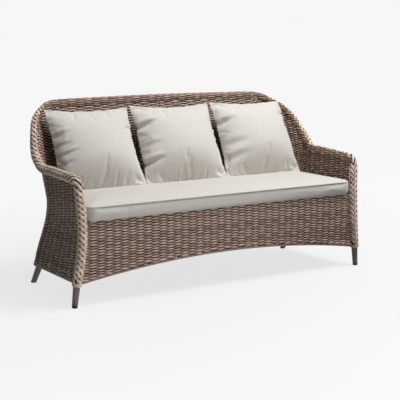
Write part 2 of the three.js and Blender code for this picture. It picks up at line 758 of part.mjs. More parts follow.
function addSeatCushion(group) {
  const zipY = seatBackY + seatBulge;
  const halfZip = zipLength / 2;
  const zipRise = zipHeight / 2;
  const slot = block(vec(-halfZip, seatBackY - coverWall - seatEdgeRound, seatMiddle - zipRise),
    vec(halfZip, zipY + cutOverrun, seatMiddle + zipRise));
  const cavity = seatForm(coverWall, 0, coreCornerSteps, coreEdgeSteps);
  const outside = seatForm(0, seatBulge, seatCornerSteps, seatEdgeSteps);
  const cover = addMesh(group, 'seat_cushion_cover', cutAway(outside, [cavity, slot]), fabric);
  const core = seatForm(coverWall + boreGap, 0, coreCornerSteps, coreEdgeSteps);
  addMesh(group, 'seat_cushion_foam', core, foam);
  addMesh(group, 'seat_piping_top', piping(seatSeam, 1), trim);
  addMesh(group, 'seat_piping_bottom', piping(seatLow, -1), trim);
  const chain = block(vec(gap - halfZip, zipY - zipThickness, seatMiddle - zipRise + gap),
    vec(halfZip - gap, zipY, seatMiddle + zipRise - gap));
  addMesh(group, 'seat_zip_chain', chain, trim);
  const sliderY = zipY + gap;
  const sliderRise = sliderHeight / 2;
  const slider = block(vec(gap - halfZip, sliderY, seatMiddle - sliderRise),
    vec(gap - halfZip + sliderLength, sliderY + sliderThickness, seatMiddle + sliderRise));
  const pullerX = gap - halfZip + (sliderLength - pullerWidth) / 2;
  const pullerY = sliderY + (sliderThickness - pullerThickness) / 2;
  const puller = block(vec(pullerX, pullerY, seatMiddle - pullerLength),
    vec(pullerX + pullerWidth, pullerY + pullerThickness, seatMiddle));
  addMesh(group, 'seat_zip_slider', slider.add(puller), zipMetal);
  return cover;
}

// The pillows share the width of the seat, and each is widest along its lower edge
const pillowPlaces = [['left', -1], ['centre', 0], ['right', 1]];
const pillowRoom = 2 * (seatHalfWidth - pillowSideRoom);
const pillowPitch = (pillowRoom + pillowSpacing) / pillowPlaces.length;
const pillowWidth = (pillowPitch - pillowSpacing) / (1 + pillowTaperShare);

// A knife-edged pillow round its own middle: drawn-in edges, pointed corners and a full crown
function pillowForm(seamInset, wall, cells) {
  const halfWidth = pillowWidth / 2 - seamInset;
  const halfHeight = pillowHeight / 2 - seamInset;
  const halfDepth = pillowDepth / 2 - wall;
  const face = (sign) => (across, up) => {
    const u = Math.sin((Math.PI / 2) * (2 * across - 1));
    const v = Math.sin((Math.PI / 2) * (2 * up - 1));
    const crown = (Math.max(0, 1 - u ** 2) * Math.max(0, 1 - v ** 2)) ** pillowCrownPower;
    const x = halfWidth * u * (1 - pillowPullShare * (1 - v ** 2)) * (1 - pillowTaperShare * v);
    return vec(x, sign * halfDepth * crown, halfHeight * v * (1 - pillowPullShare * (1 - u ** 2)));
  };
  return toSolid(sheet(cells, cells, face(-1), face(1), false));
}

// How far a piece can travel one way before it comes within the gap of its neighbours
function freeTravel(piece, neighbours, direction) {
  const caster = new THREE.Raycaster();
  let nearest = Infinity;
  const probe = (from, to, way) => {
    const corners = from.geometry.attributes.position;
    for (let i = 0; i < corners.count; i += 1) {
      const corner = vec(0, 0, 0).fromBufferAttribute(corners, i).applyMatrix4(from.matrixWorld);
      caster.set(corner, way);
      const [hit] = caster.intersectObject(to);
      if (hit) nearest = Math.min(nearest, hit.distance);
    }
  };
  piece.updateWorldMatrix(true, false);
  for (const neighbour of neighbours) {
    probe(piece, neighbour, direction);
    probe(neighbour, piece, direction.clone().negate());
  }
  return nearest - gap;
}

// Sets a pillow down on the seat cushion and leans it on the woven back, clear of the weave's relief
function settle(pillow, cover, seat, back) {
  for (const share of leanStepShares) {
    pillow.position.z -= freeTravel(cover, [seat], vec(0, 0, -1));
    pillow.position.y += share * (freeTravel(cover, back, vec(0, 1, 0)) - pillowBackRoom);
  }
  pillow.position.z -= freeTravel(cover, [seat], vec(0, 0, -1));
}

function addPillows(group, seat) {
  const back = group.children.filter((mesh) => /^(woven_back|back_upright)/.test(mesh.name));
  const slotHigh = 2 * pillowSeam - pillowHeight / 2;
  const slot = block(vec(-pillowSlotLength / 2, -pillowSlotWidth / 2, -pillowHeight),
    vec(pillowSlotLength / 2, pillowSlotWidth / 2, slotHigh));
  for (const [place, step] of pillowPlaces) {
    const pillow = new THREE.Group();
    const outside = pillowForm(0, 0, pillowCells);
    const cavity = pillowForm(pillowSeam, coverWall, padCells);
    const cover = addMesh(pillow, `pillow_cover_${place}`, cutAway(outside, [cavity, slot]), fabric);
    const pad = pillowForm(pillowSeam + boreGap, coverWall + boreGap, padCells);
    addMesh(pillow, `pillow_pad_${place}`, pad, foam);
    pillow.rotation.x = -THREE.MathUtils.degToRad(pillowLeanDegrees);
    pillow.position.set(step * pillowPitch, (seatFrontY + seatBackY) / 2, sofaHeight);
    group.add(pillow);
    settle(pillow, cover, seat, back);
  }
}

const sofa = new THREE.Group();
addRim(sofa);
addLowerEdge(sofa);
addPanels(sofa);
addSeatFrame(sofa);
addLegs(sofa);
const seatCover = addSeatCushion(sofa);
addPillows(sofa, seatCover);

export default sofa;
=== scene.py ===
"""A woven garden sofa: plain-woven shell, plaited roll, twisted rope edge, seat cushion and three pillows.

Metres, X along the sofa, Y from front to back, Z up, origin on the floor under the middle.
"""
import logging
import math
from dataclasses import dataclass
from enum import Enum

import bpy
import numpy as np
from bpy.types import Material, Mesh, Node, NodeSocket, Object
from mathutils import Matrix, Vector


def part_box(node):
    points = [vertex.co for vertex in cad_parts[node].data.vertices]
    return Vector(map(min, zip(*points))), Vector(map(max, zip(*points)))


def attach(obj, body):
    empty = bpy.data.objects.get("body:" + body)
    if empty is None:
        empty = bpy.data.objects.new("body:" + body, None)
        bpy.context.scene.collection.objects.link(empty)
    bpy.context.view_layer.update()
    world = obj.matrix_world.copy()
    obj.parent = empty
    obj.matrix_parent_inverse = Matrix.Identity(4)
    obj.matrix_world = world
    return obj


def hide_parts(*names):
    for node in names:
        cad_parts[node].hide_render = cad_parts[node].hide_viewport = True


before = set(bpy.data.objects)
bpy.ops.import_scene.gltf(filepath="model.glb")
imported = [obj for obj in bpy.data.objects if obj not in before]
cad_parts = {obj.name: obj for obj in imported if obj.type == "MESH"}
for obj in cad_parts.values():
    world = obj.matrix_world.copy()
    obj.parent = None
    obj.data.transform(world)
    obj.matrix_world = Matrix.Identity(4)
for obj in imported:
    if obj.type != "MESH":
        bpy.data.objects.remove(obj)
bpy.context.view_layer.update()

logging.basicConfig(level=logging.INFO, format="%(name)s: %(message)s")
log = logging.getLogger("sofa")

Array = np.ndarray
Values = Array | float
Pair = tuple[float, float]
Triple = tuple[float, float, float]
FRAME_BODY = "frame"
SEAT_BODY = "seat_cushion"
UP = np.array([0.0, 0.0, 1.0])
FORWARD = np.array([0.0, -1.0, 0.0])
MIRROR = np.array([-1, 1, 1])
NOISE_RANGE = (0.3, 0.7)
WHITE = (1, 1, 1, 1)


class Named(Enum):
    """Options whose names the pieces carry in small letters."""

    @property
    def word(self) -> str:
        """The option's name in small letters."""
        return self.name.lower()


class Side(Named):
    """Which half of the sofa a piece belongs to, and the sign of X there."""

    RIGHT = 1
    LEFT = -1


class Panel(Named):
    """The woven panels of each half, and the station at which each starts."""

    SIDE = 0
    WING = 1
    BACK = 2


def unit(vectors: Array) -> Array:
    """Each vector of an array, whose last axis is x, y and z, divided by its own length."""
    return vectors / np.maximum(np.linalg.norm(vectors, axis=-1, keepdims=True), 1e-12)


def blend_between(low: Values, high: Values, share: Values) -> Array:
    """The straight mix low + share (high - low)."""
    return low + (high - low) * share


def smooth_step(low: float, high: float, value: Array) -> Array:
    """The cubic ease 3t^2 - 2t^3, where t runs from 0 to 1 as the value goes from low to high."""
    t = np.clip((value - low) / (high - low), 0, 1)
    return t * t * (3 - 2 * t)


def centripetal_curve(points: Array, per_span: int) -> Array:
    """A smooth curve through all the points.

    Each span is the cubic whose end tangents come from the neighbouring points, with knots spaced by the
    square root of the distances. The end points are mirrored outward for the outer tangents.

    Args:
        points: the points, one row each.
        per_span: steps in each span.

    Returns:
        The points of the curve, the last point included.
    """
    first = 2 * points[:1] - points[1:2]
    last = 2 * points[-1:] - points[-2:-1]
    padded = np.vstack([first, points, last])
    a, b, c, d = padded[:-3], padded[1:-2], padded[2:-1], padded[3:]
    knots = [np.sqrt(np.linalg.norm(q - p, axis=1, keepdims=True)) for p, q in ((a, b), (b, c), (c, d))]
    before, here, after = knots
    start = ((b - a) / before - (c - a) / (before + here) + (c - b) / here) * here
    end = ((c - b) / here - (d - b) / (here + after) + (d - c) / after) * here
    t = (np.arange(per_span) / per_span)[None, :, None]
    b, c, start, end = (item[:, None, :] for item in (b, c, start, end))
    spans = b + start * t + (3 * (c - b) - 2 * start - end) * t**2 + (2 * (b - c) + start + end) * t**3
    return np.vstack([spans.reshape(-1, 3), points[-1:]])


def arc_lengths(points: Array) -> Array:
    """The distance run along a line of points, from zero at the first."""
    return np.concatenate([[0.0], np.cumsum(np.linalg.norm(np.diff(points, axis=0), axis=1))])


def read_along(length: Array, lengths: Array, values: Array) -> Array:
    """Rows of x, y and z, given at lengths along a line, read at others, straight from row to row."""
    return np.stack([np.interp(length, lengths, values[:, axis]) for axis in range(3)], axis=-1)


def outward_in_plan(station: Array) -> Array:
    """The level direction (cos a, sin a, 0) out of the shell; a turns a quarter from station 1 to 2."""
    angle = np.clip(station - 1, 0, 1) * np.pi / 2
    return np.stack([np.cos(angle), np.sin(angle), np.zeros_like(angle)], axis=-1)


def wavering(cell: Array, row: int, waves: tuple) -> Array:
    """How far a hand-laid row strays from level: size sin(turn cell + shift row), summed over its waves."""
    return sum(size * np.sin(cell * turn + row * shift) for size, turn, shift in waves)


@dataclass(frozen=True)
class SofaForm:
    """The sizes that shape the sofa, and the surfaces that they give on its right half."""

    width: float = 1.670
    depth: float = 0.712
    height: float = 0.894
    leg_height: float = 0.098
    deck_height: float = 0.386
    roll_radius: float = 0.024
    post_lean: float = 0.020
    post_bow: float = 0.016
    post_forward_bow: float = 0.013
    bend_radius: float = 0.042
    arm_front_height: float = 0.596
    arm_rear_height: float = 0.616
    arm_reach: float = 0.359
    arm_bow: float = 0.006
    ear_inset: float = 0.010
    back_top_inset: float = 0.211
    top_arch: float = 0.007
    top_bow: float = 0.007
    roll_seam_inset: float = 0.046
    skin_thickness: float = 0.013
    skin_inset: float = 0.008
    rear_taper: float = 0.009
    base_back_inset: float = 0.147
    base_corner_radius: float = 0.045
    waist_height: float = 0.425
    waist_back_inset: float = 0.232
    waist_corner_radius: float = 0.088
    waist_ease_share: float = 0.12
    apron_proud: float = 0.002
    apron_arch: float = 0.070
    border_diameter: float = 0.012
    ring_tube_diameter: float = 0.010
    gap: float = 0.0003
    wing_shares: tuple = (
        (-0.01, 0.084, 0.059), (-0.01, 0.21, 0.181), (0.045, 0.337, 0.343), (0.16, 0.5, 0.583),
        (0.284, 0.646, 0.734), (0.433, 0.772, 0.834), (0.602, 0.863, 0.908), (0.8, 0.96, 0.975),
    )
    post_steps: int = 6
    bend_steps: int = 3
    arm_steps: int = 3
    back_steps: int = 3
    curve_steps: int = 16

    @property
    def post_x(self) -> float:
        """How far out the foot of the front post's roll stands."""
        return self.width / 2 - self.roll_radius

    @property
    def post_y(self) -> float:
        """How far forward the foot of the front post's roll stands."""
        return self.roll_radius + self.post_forward_bow - self.depth / 2

    @property
    def bend_height(self) -> float:
        """Where the post ends and the bend into the arm starts."""
        return self.arm_front_height - self.roll_radius - self.bend_radius

    @property
    def back_half_width(self) -> float:
        """Half the width of the straight top of the back."""
        return self.post_x - self.back_top_inset

    @property
    def middle_depth(self) -> float:
        """The depth of the weave's middle surface under its outer face."""
        return self.skin_thickness / 2

    @property
    def border_height(self) -> float:
        """The height of the rope edge's centre line at the posts."""
        return self.leg_height + self.border_diameter / 2

    @property
    def skin_low(self) -> float:
        """Where the weave starts, above the rope and the tube in its lower edge."""
        return self.leg_height + self.border_diameter + self.ring_tube_diameter + 2 * self.gap

    def post_point(self, height: Values) -> Array:
        """The post's centre line: a straight lean plus a half sine wave of bow.

        Args:
            height: heights above the floor.

        Returns:
            One point for each height.
        """
        height = np.asarray(height, float)
        climb = (height - self.leg_height) / (self.bend_height - self.leg_height)
        bulge = np.sin(np.pi * climb)
        x = self.post_x - self.post_lean * climb - self.post_bow * bulge
        return np.stack([x, self.post_y - self.post_forward_bow * bulge, height], axis=-1)

    def rim_points(self) -> Array:
        """The points of the rim: the post, a quarter turn, the arm, the wing and half of the back's arch.

        Returns:
            One row for each point.
        """
        post = self.post_point(np.linspace(self.leg_height, self.bend_height, self.post_steps + 1))
        start = post[-1]
        wing = np.array([self.post_x - self.ear_inset, self.post_y + self.arm_reach,
                         self.arm_rear_height - self.roll_radius])

        def arm_x(y: Array) -> Array:
            """The arm's plan: a straight line with a half sine wave inward."""
            along = (y - start[1]) / (wing[1] - start[1])
            return blend_between(start[0], wing[0], along) - self.arm_bow * np.sin(np.pi * along)

        turn = np.pi / 2 * np.arange(1, self.bend_steps + 1) / self.bend_steps
        bend_y = start[1] + self.bend_radius * (1 - np.cos(turn))
        bend = np.stack([arm_x(bend_y), bend_y, start[2] + self.bend_radius * np.sin(turn)], axis=1)
        along = np.arange(1, self.arm_steps + 1) / self.arm_steps
        arm_y = blend_between(bend[-1, 1], wing[1], along)
        arm = np.stack([arm_x(arm_y), arm_y, blend_between(bend[-1, 2], wing[2], along)], axis=1)
        back_y = self.depth / 2 - self.roll_radius
        top = self.height - self.roll_radius
        wing_top = np.array([self.back_half_width, back_y - self.top_bow, top - self.top_arch])
        wings = blend_between(wing, wing_top, np.array(self.wing_shares))
        out = 1 - np.arange(self.back_steps + 1) / self.back_steps
        back = np.stack([self.back_half_width * out, back_y - self.top_bow * out**2,
                         top - self.top_arch * out**2], axis=1)
        return np.vstack([post, bend, arm, wings, back])

    def plan_point(self, station: Array, front_y: Array, front_x: Array, side_x: Array,
                   back_y: float, radius: float) -> Array:
        """The shell's plan at one level: a straight side, a quarter circle and a straight back.

        Args:
            station: 0 to 1 on the side, to 2 on the corner, to 3 on the back.
            front_y: Y where the side starts.
            front_x: X where the side starts.
            side_x: X where the side ends.
            back_y: Y of the back.
            radius: radius of the corner.

        Returns:
            X and Y for each station.
        """
        centre_x, centre_y = side_x - radius, back_y - radius
        side = np.stack(np.broadcast_arrays(blend_between(front_x, side_x, station),
                                            blend_between(front_y, centre_y, station)), axis=-1)
        corner = np.array([centre_x, centre_y]) + radius * outward_in_plan(station)[..., :2]
        back = np.stack(np.broadcast_arrays(centre_x * (3 - station), back_y), axis=-1)
        plan = np.where(station[..., None] <= 1, side, corner)
        return np.where(station[..., None] >= 2, back, plan)

    def shell_point(self, station: Array, height: Array, depth: float, rim: "Rim") -> Array:
        """A point of the shell: the base plan eases into the waist's, which eases into the rim's.

        Below the waist X follows a quarter sine wave and Y half a cosine wave. Above it the plan runs
        straight to the rim after a soft start, and the depth is taken inward at the end.

        Args:
            station: stations from 0 to 3.
            height: heights, of the same shape.
            depth: how far under the outer face.
            rim: the rim that the shell hangs from.

        Returns:
            One point for each station.
        """
        station, height = np.broadcast_arrays(np.asarray(station, float), np.asarray(height, float))
        outward = outward_in_plan(station)[..., :2]
        post = self.post_point(self.waist_height)
        waist_x = post[0] - self.skin_inset
        waist = self.plan_point(station, post[1], waist_x, waist_x,
                                self.depth / 2 - self.waist_back_inset, self.waist_corner_radius)
        front_x = self.post_x - self.skin_inset
        base = self.plan_point(station, self.post_y, front_x, front_x - self.rear_taper,
                               self.depth / 2 - self.base_back_inset, self.base_corner_radius)
        climb = np.clip((height - self.leg_height) / (self.waist_height - self.leg_height), 0, 1)
        low_x = blend_between(base[..., 0], waist[..., 0], np.sin(np.pi / 2 * climb))
        low_y = blend_between(base[..., 1], waist[..., 1], (1 - np.cos(np.pi * climb)) / 2)
        rim_point = rim.at_station(station)
        top = rim_point[..., :2] - self.skin_inset * outward
        ease = self.waist_ease_share
        share = np.clip((height - self.waist_height) / (rim_point[..., 2] - self.waist_height), 0, 1)
        steady = 1 - ease / 2
        soft = np.where(share < ease, share**2 / (2 * ease * steady), (share - ease / 2) / steady)
        high = waist + (top - waist) * soft[..., None]
        plan = np.where((height < self.waist_height)[..., None], np.stack([low_x, low_y], axis=-1), high)
        plan = plan - depth * outward
        return np.concatenate([plan, height[..., None]], axis=-1)

    def arch_height(self, x: Array) -> Array:
        """The rise of the front's lower edge: a parabola that is zero at the posts."""
        return self.apron_arch * (1 - (x / self.post_x) ** 2)

    def apron_point(self, x: Array, height: Array, depth: float) -> Array:
        """A point of the front panel, which leans with the posts a little in front of their axes.

        Args:
            x: places across the sofa.
            height: heights, of the same shape.
            depth: how far under the outer face.

        Returns:
            One point for each place.
        """
        x, height = np.broadcast_arrays(np.asarray(x, float), np.asarray(height, float))
        y = self.post_point(height)[..., 1] - self.apron_proud + depth
        return np.stack([x, y, height], axis=-1)


class Rim:
    """The centre line of the roll on the right half, by length and by station, with its outward frame."""

    def __init__(self, form: SofaForm) -> None:
        """Works the curve out.

        Args:
            form: the sofa's sizes.
        """
        right = form.rim_points()
        mirror_back = right[-2:-4:-1] * MIRROR
        curve = centripetal_curve(np.vstack([right, mirror_back]), form.curve_steps)
        self.points = curve[:(len(right) - 1) * form.curve_steps + 1]
        self.lengths = arc_lengths(self.points)
        wing_start = form.post_steps + form.bend_steps + form.arm_steps
        wing_end = wing_start + len(form.wing_shares) + 1
        marks = np.array([form.post_steps, wing_start, wing_end, wing_end + form.back_steps])
        self.station_lengths = self.lengths[marks * form.curve_steps]
        tangent = unit(np.gradient(self.points, self.lengths, axis=0))
        outward = outward_in_plan(self.station_of(self.lengths))
        self.outward = unit(outward - tangent * np.sum(outward * tangent, axis=1, keepdims=True))
        self.upward = np.cross(self.outward, tangent)

    def station_of(self, length: Array) -> Array:
        """The station reached at each length; the post counts as station 0."""
        return np.interp(length, self.station_lengths, np.arange(len(self.station_lengths)))

    def length_of(self, station: Array) -> Array:
        """The length at each station."""
        return np.interp(station, np.arange(len(self.station_lengths)), self.station_lengths)

    def at_length(self, length: Array, values: Array | None = None) -> Array:
        """The centre line, or another array given along it, read at each length."""
        return read_along(length, self.lengths, self.points if values is None else values)

    def at_station(self, station: Array) -> Array:
        """The centre line at each station."""
        return self.at_length(self.length_of(station))

    def on_roll(self, length: Array, angle: Array, radius: Array) -> tuple[Array, Array]:
        """Points round the roll: centre + radius (cos angle outward + sin angle upward).

        Args:
            length: lengths along the rim.
            angle: angles round it, zero facing outward and a quarter turn facing up.
            radius: distances from the centre line.

        Returns:
            The points, and the direction away from the centre line at each.
        """
        length, angle, radius = np.broadcast_arrays(length, angle, radius)
        away = (np.cos(angle)[..., None] * self.at_length(length, self.outward)
                + np.sin(angle)[..., None] * self.at_length(length, self.upward))
        away = unit(away)
        return self.at_length(length) + radius[..., None] * away, away


class StrandBundle:
    """Strands gathered into one mesh, each a closed body with an oval section.

    Every strand carries its own tint, its length and turn as a UV map, and a crown value: +1 where it lies
    proud and faces out, -1 where it dips under its neighbours and faces out. The strand materials paint
    shade where it is low.
    """

    def __init__(self, sides: int, seed: int) -> None:
        """Starts an empty bundle.

        Args:
            sides: corners of each strand's section.
            seed: seed of the tints.
        """
        self.sides = sides
        self.grain_shift = 5.0
        self.random = np.random.default_rng(seed)
        self.count = 0
        self.points: list[Array] = []
        self.quads: list[Array] = []
        self.caps: list[Array] = []
        self.quad_uv: list[Array] = []
        self.cap_uv: list[Array] = []
        self.crown: list[Array] = []
        self.tint: list[Array] = []

    def add(self, path: Array, out: Array, half_wide: Values, half_thick: Values,
            proud: Values) -> None:
        """Adds strands of one number of steps. What is the same everywhere may be given once.

        A ring's corner at angle a is path + across half_wide cos a + out half_thick sin a, where across is
        out x tangent, so that the rings wind outward along the path.

        Args:
            path: centre lines, strands by steps by 3, or a single line.
            out: the direction each strand's face looks in.
            half_wide: half the width of the section, strands by steps.
            half_thick: half its thickness, strands by steps.
            proud: how proud the strand lies there, -1 to 1, strands by steps.
        """
        path = path.reshape(-1, *path.shape[-2:])
        count, steps, _ = path.shape
        sides = self.sides
        tangent = unit(np.gradient(path, axis=1))
        across = unit(np.cross(np.broadcast_to(out, path.shape), tangent))
        facing = np.cross(tangent, across)
        angle = 2 * np.pi * np.arange(sides) / sides
        half_wide, half_thick, proud = (np.broadcast_to(item, (count, steps)) for item in
                                        (half_wide, half_thick, proud))
        rings = (path[:, :, None] + across[:, :, None] * (half_wide[..., None] * np.cos(angle))[..., None]
                 + facing[:, :, None] * (half_thick[..., None] * np.sin(angle))[..., None])
        strand = np.arange(count)[:, None, None] * steps * sides
        step = np.arange(steps - 1)[None, :, None] * sides
        corner = np.arange(sides)[None, None, :]
        after = (corner + 1) % sides
        quads = np.stack([strand + step + corner, strand + step + after,
                          strand + step + sides + after, strand + step + sides + corner], axis=-1)
        self.quads.append(quads.reshape(-1, 4) + self.count)
        first = strand[:, :, 0] + np.arange(sides)[None, ::-1]
        last = strand[:, :, 0] + (steps - 1) * sides + np.arange(sides)[None, :]
        self.caps.append(np.concatenate([first, last]) + self.count)
        pieces = np.linalg.norm(np.diff(path, axis=1), axis=2)
        run = np.concatenate([np.zeros((count, 1)), np.cumsum(pieces, axis=1)], axis=1)
        run = run + self.random.uniform(0, self.grain_shift, (count, 1))
        low, high = (np.broadcast_to(item[..., None], (count, steps - 1, sides)) for item in
                     (run[:, :-1], run[:, 1:]))
        turn, turned = (np.broadcast_to(item / sides, low.shape) for item in (corner, corner + 1))
        uv = np.stack([np.stack(pair, axis=-1) for pair in
                       ((low, turn), (low, turned), (high, turned), (high, turn))], axis=-2)
        self.quad_uv.append(uv.reshape(-1, 2))
        ends = np.concatenate([np.repeat(run[:, :1], sides, 1), np.repeat(run[:, -1:], sides, 1)])
        turns = np.broadcast_to(np.arange(sides) / sides, ends.shape)
        self.cap_uv.append(np.stack([ends, turns], axis=-1).reshape(-1, 2))
        self.points.append(rings.reshape(-1, 3))
        self.crown.append((proud[..., None] * np.sin(angle)).ravel())
        self.tint.append(np.repeat(self.random.uniform(0, 1, count), steps * sides))
        self.count += count * steps * sides

    def make(self, name: str, material: Material, stands_for: tuple[str, ...] = (),
             side: Side = Side.RIGHT, body: str = FRAME_BODY) -> None:
        """Makes the strands one finished piece, mirrored for the left side with its faces turned again.

        Args:
            name: the piece's name.
            material: its material.
            stands_for: the nodes that it replaces.
            side: which half of the sofa it stands on.
            body: the body that it rides on.
        """
        points = np.vstack(self.points)
        quads, caps = np.vstack(self.quads), np.vstack(self.caps)
        quad_uv = np.vstack(self.quad_uv).reshape(-1, 4, 2)
        cap_uv = np.vstack(self.cap_uv).reshape(-1, self.sides, 2)
        if side is Side.LEFT:
            points = points * MIRROR
            quads, caps = quads[:, ::-1], caps[:, ::-1]
            quad_uv, cap_uv = quad_uv[:, ::-1], cap_uv[:, ::-1]
        piece = make_mesh(name, points, [quads, caps])
        layer = piece.data.uv_layers.new(name="strand")
        uv = np.concatenate([quad_uv.reshape(-1, 2), cap_uv.reshape(-1, 2)])
        layer.data.foreach_set("uv", uv.astype(np.float32).ravel())
        for key, values in (("crown", self.crown), ("tint", self.tint)):
            attribute = piece.data.attributes.new(key, "FLOAT", "POINT")
            attribute.data.foreach_set("value", np.concatenate(values).astype(np.float32))
        finish_piece(piece, body, material, stands_for)


def make_mesh(name: str, points: Array, face_groups: list[Array]) -> Object:
    """Puts arrays of points and faces into a smooth-shaded mesh.

    Args:
        name: the piece's name.
        points: one row for each point.
        face_groups: arrays of faces, each with its own number of corners.

    Returns:
        The new object, linked to the scene.
    """
    mesh = bpy.data.meshes.new(name)
    mesh.vertices.add(len(points))
    mesh.vertices.foreach_set("co", np.asarray(points, np.float32).ravel())
    corners = np.concatenate([group.ravel() for group in face_groups]).astype(np.int32)
    sizes = np.concatenate([np.full(len(group), group.shape[1]) for group in face_groups])
    starts = np.concatenate([[0], np.cumsum(sizes)[:-1]]).astype(np.int32)
    mesh.loops.add(len(corners))
    mesh.polygons.add(len(sizes))
    mesh.polygons.foreach_set("loop_start", starts)
    mesh.polygons.foreach_set("vertices", corners)
    mesh.polygons.foreach_set("use_smooth", np.ones(len(sizes), bool))
    mesh.update(calc_edges=True)
    piece = bpy.data.objects.new(name, mesh)
    bpy.context.scene.collection.objects.link(piece)
    return piece


class Shader:
    """A material's nodes, added with their values and links in one call."""

    def __init__(self, name: str) -> None:
        """Makes the material.

        Args:
            name: the material's name.
        """
        self.material = bpy.data.materials.new(name)
        self.material.use_nodes = True
        self.tree = self.material.node_tree
        self.surface = self.tree.nodes["Principled BSDF"]

    def add(self, kind: str, settings: dict | None = None, inputs: dict | None = None) -> Node:
        """Adds a node.

        Args:
            kind: the node's type.
            settings: values of the node's own properties.
            inputs: values or output sockets for its inputs, by name or number.

        Returns:
            The node.
        """
        node = self.tree.nodes.new(kind)
        for key, value in (settings or {}).items():
            setattr(node, key, value)
        for key, value in (inputs or {}).items():
            self.feed(key, value, node)
        return node

    def feed(self, key: str | int, value: object, node: Node | None = None) -> None:
        """Sets one input, or links it where the value is a socket.

        Args:
            key: the input's name or number.
            value: a number, a colour or an output socket.
            node: the node; the surface where none is given.
        """
        node = node or self.surface
        if isinstance(value, NodeSocket):
            self.tree.links.new(value, node.inputs[key])
        else:
            node.inputs[key].default_value = value

    def maths(self, operation: str, first: object, second: object = 0.0, third: object = 0.0) -> object:
        """The output of a Math node on up to three values or sockets."""
        inputs = {0: first, 1: second, 2: third}
        return self.add("ShaderNodeMath", {"operation": operation}, inputs).outputs[0]

    def remap(self, value: object, low: float, high: float, to_low: float = 0.0,
              to_high: float = 1.0) -> object:
        """A value moved smoothly from one range to another."""
        inputs = {0: value, 1: low, 2: high, 3: to_low, 4: to_high}
        return self.add("ShaderNodeMapRange", {"interpolation_type": "SMOOTHSTEP"}, inputs).outputs[0]

    def noise(self, vector: object, scale: float, detail: float) -> object:
        """The value of a Noise texture read at a coordinate."""
        inputs = {"Vector": vector, "Scale": scale, "Detail": detail}
        return self.add("ShaderNodeTexNoise", None, inputs).outputs[0]

    def stretched(self, vector: object, scale: Triple) -> object:
        """A coordinate scaled along its own axes."""
        return self.add("ShaderNodeMapping", None, {"Vector": vector, "Scale": scale}).outputs[0]

    def mixed(self, share: object, first: object, second: object) -> object:
        """Two colours mixed, with so much of the second as the share says."""
        inputs = {0: share, 6: first, 7: second}
        return self.add("ShaderNodeMix", {"data_type": "RGBA"}, inputs).outputs[2]

    def bump(self, height: object, strength: float, distance: float) -> None:
        """Gives the surface a bump of a strength from 0 to 1 and a height in metres."""
        inputs = {"Height": height, "Strength": strength, "Distance": distance}
        self.feed("Normal", self.add("ShaderNodeBump", None, inputs).outputs[0])


def shade(colour: Triple, factor: float = 1.0) -> tuple[float, float, float, float]:
    """A display colour, 0 to 255, as the linear colour that a shader takes.

    Args:
        colour: red, green and blue as seen on a screen.
        factor: how much lighter or darker.

    Returns:
        Red, green, blue and one.
    """
    screen = np.array(colour) / 255
    linear = np.where(screen <= 0.04045, screen / 12.92, ((screen + 0.055) / 1.055) ** 2.4) * factor
    return (*(float(channel) for channel in np.clip(linear, 0, 1)), 1.0)


@dataclass(frozen=True)
class StrandFinish:
    """Resin strand: two tones along each strand, lengthwise reeding, and painted shade on the faces that lie
    deep between strands.
    """

    name: str
    colour: Triple
    light: Triple
    painted_shade: Triple
    roughness: float = 0.55
    roughness_spread: Pair = (-0.07, 0.1)
    specular: float = 0.3
    tint_share: float = 0.45
    streak_share: float = 0.75
    streak_scale: Triple = (26.0, 3.0, 1.0)
    streak_noise: Pair = (3.0, 4.0)
    tone_range: Pair = (0.3, 0.85)
    crown_shade_range: Pair = (-0.45, 0.6)
    reeds: float = 6.0
    reed_share: float = 0.5
    grain_share: float = 0.8
    relief_strength: float = 0.45
    relief: float = 0.00035

    def material(self) -> Material:
        """Builds the material on the strand's UV map and its crown and tint values; where the crown value is
        low, shade is painted in.

        Returns:
            The material.
        """
        shader = Shader(self.name)
        where = shader.add("ShaderNodeUVMap", {"uv_map": "strand"}).outputs[0]
        crown = shader.add("ShaderNodeAttribute", {"attribute_name": "crown"}).outputs["Fac"]
        tint = shader.add("ShaderNodeAttribute", {"attribute_name": "tint"}).outputs["Fac"]
        streak = shader.noise(shader.stretched(where, self.streak_scale), *self.streak_noise)
        streaked = shader.maths("MULTIPLY", streak, self.streak_share)
        tone = shader.remap(shader.maths("MULTIPLY_ADD", tint, self.tint_share, streaked), *self.tone_range)
        body = shader.mixed(tone, shade(self.colour), shade(self.light))
        # Painted shade: where the crown value is low, the strand takes its dark shade colour in place of its
        # own, standing in for the shade deep in the weave.
        lit = shader.remap(crown, *self.crown_shade_range)
        shader.feed("Base Color", shader.mixed(lit, shade(self.painted_shade), body))
        limits = [self.roughness + spread for spread in self.roughness_spread]
        shader.feed("Roughness", shader.remap(streak, *NOISE_RANGE, *limits))
        shader.feed("Specular IOR Level", self.specular)
        turn = shader.add("ShaderNodeSeparateXYZ", None, {0: where}).outputs[1]
        reeding = shader.maths("SINE", shader.maths("MULTIPLY", turn, 2 * math.pi * self.reeds))
        grain = shader.maths("MULTIPLY", streak, self.grain_share)
        height = shader.maths("MULTIPLY_ADD", reeding, self.reed_share, grain)
        shader.bump(height, self.relief_strength, self.relief)
        return shader.material


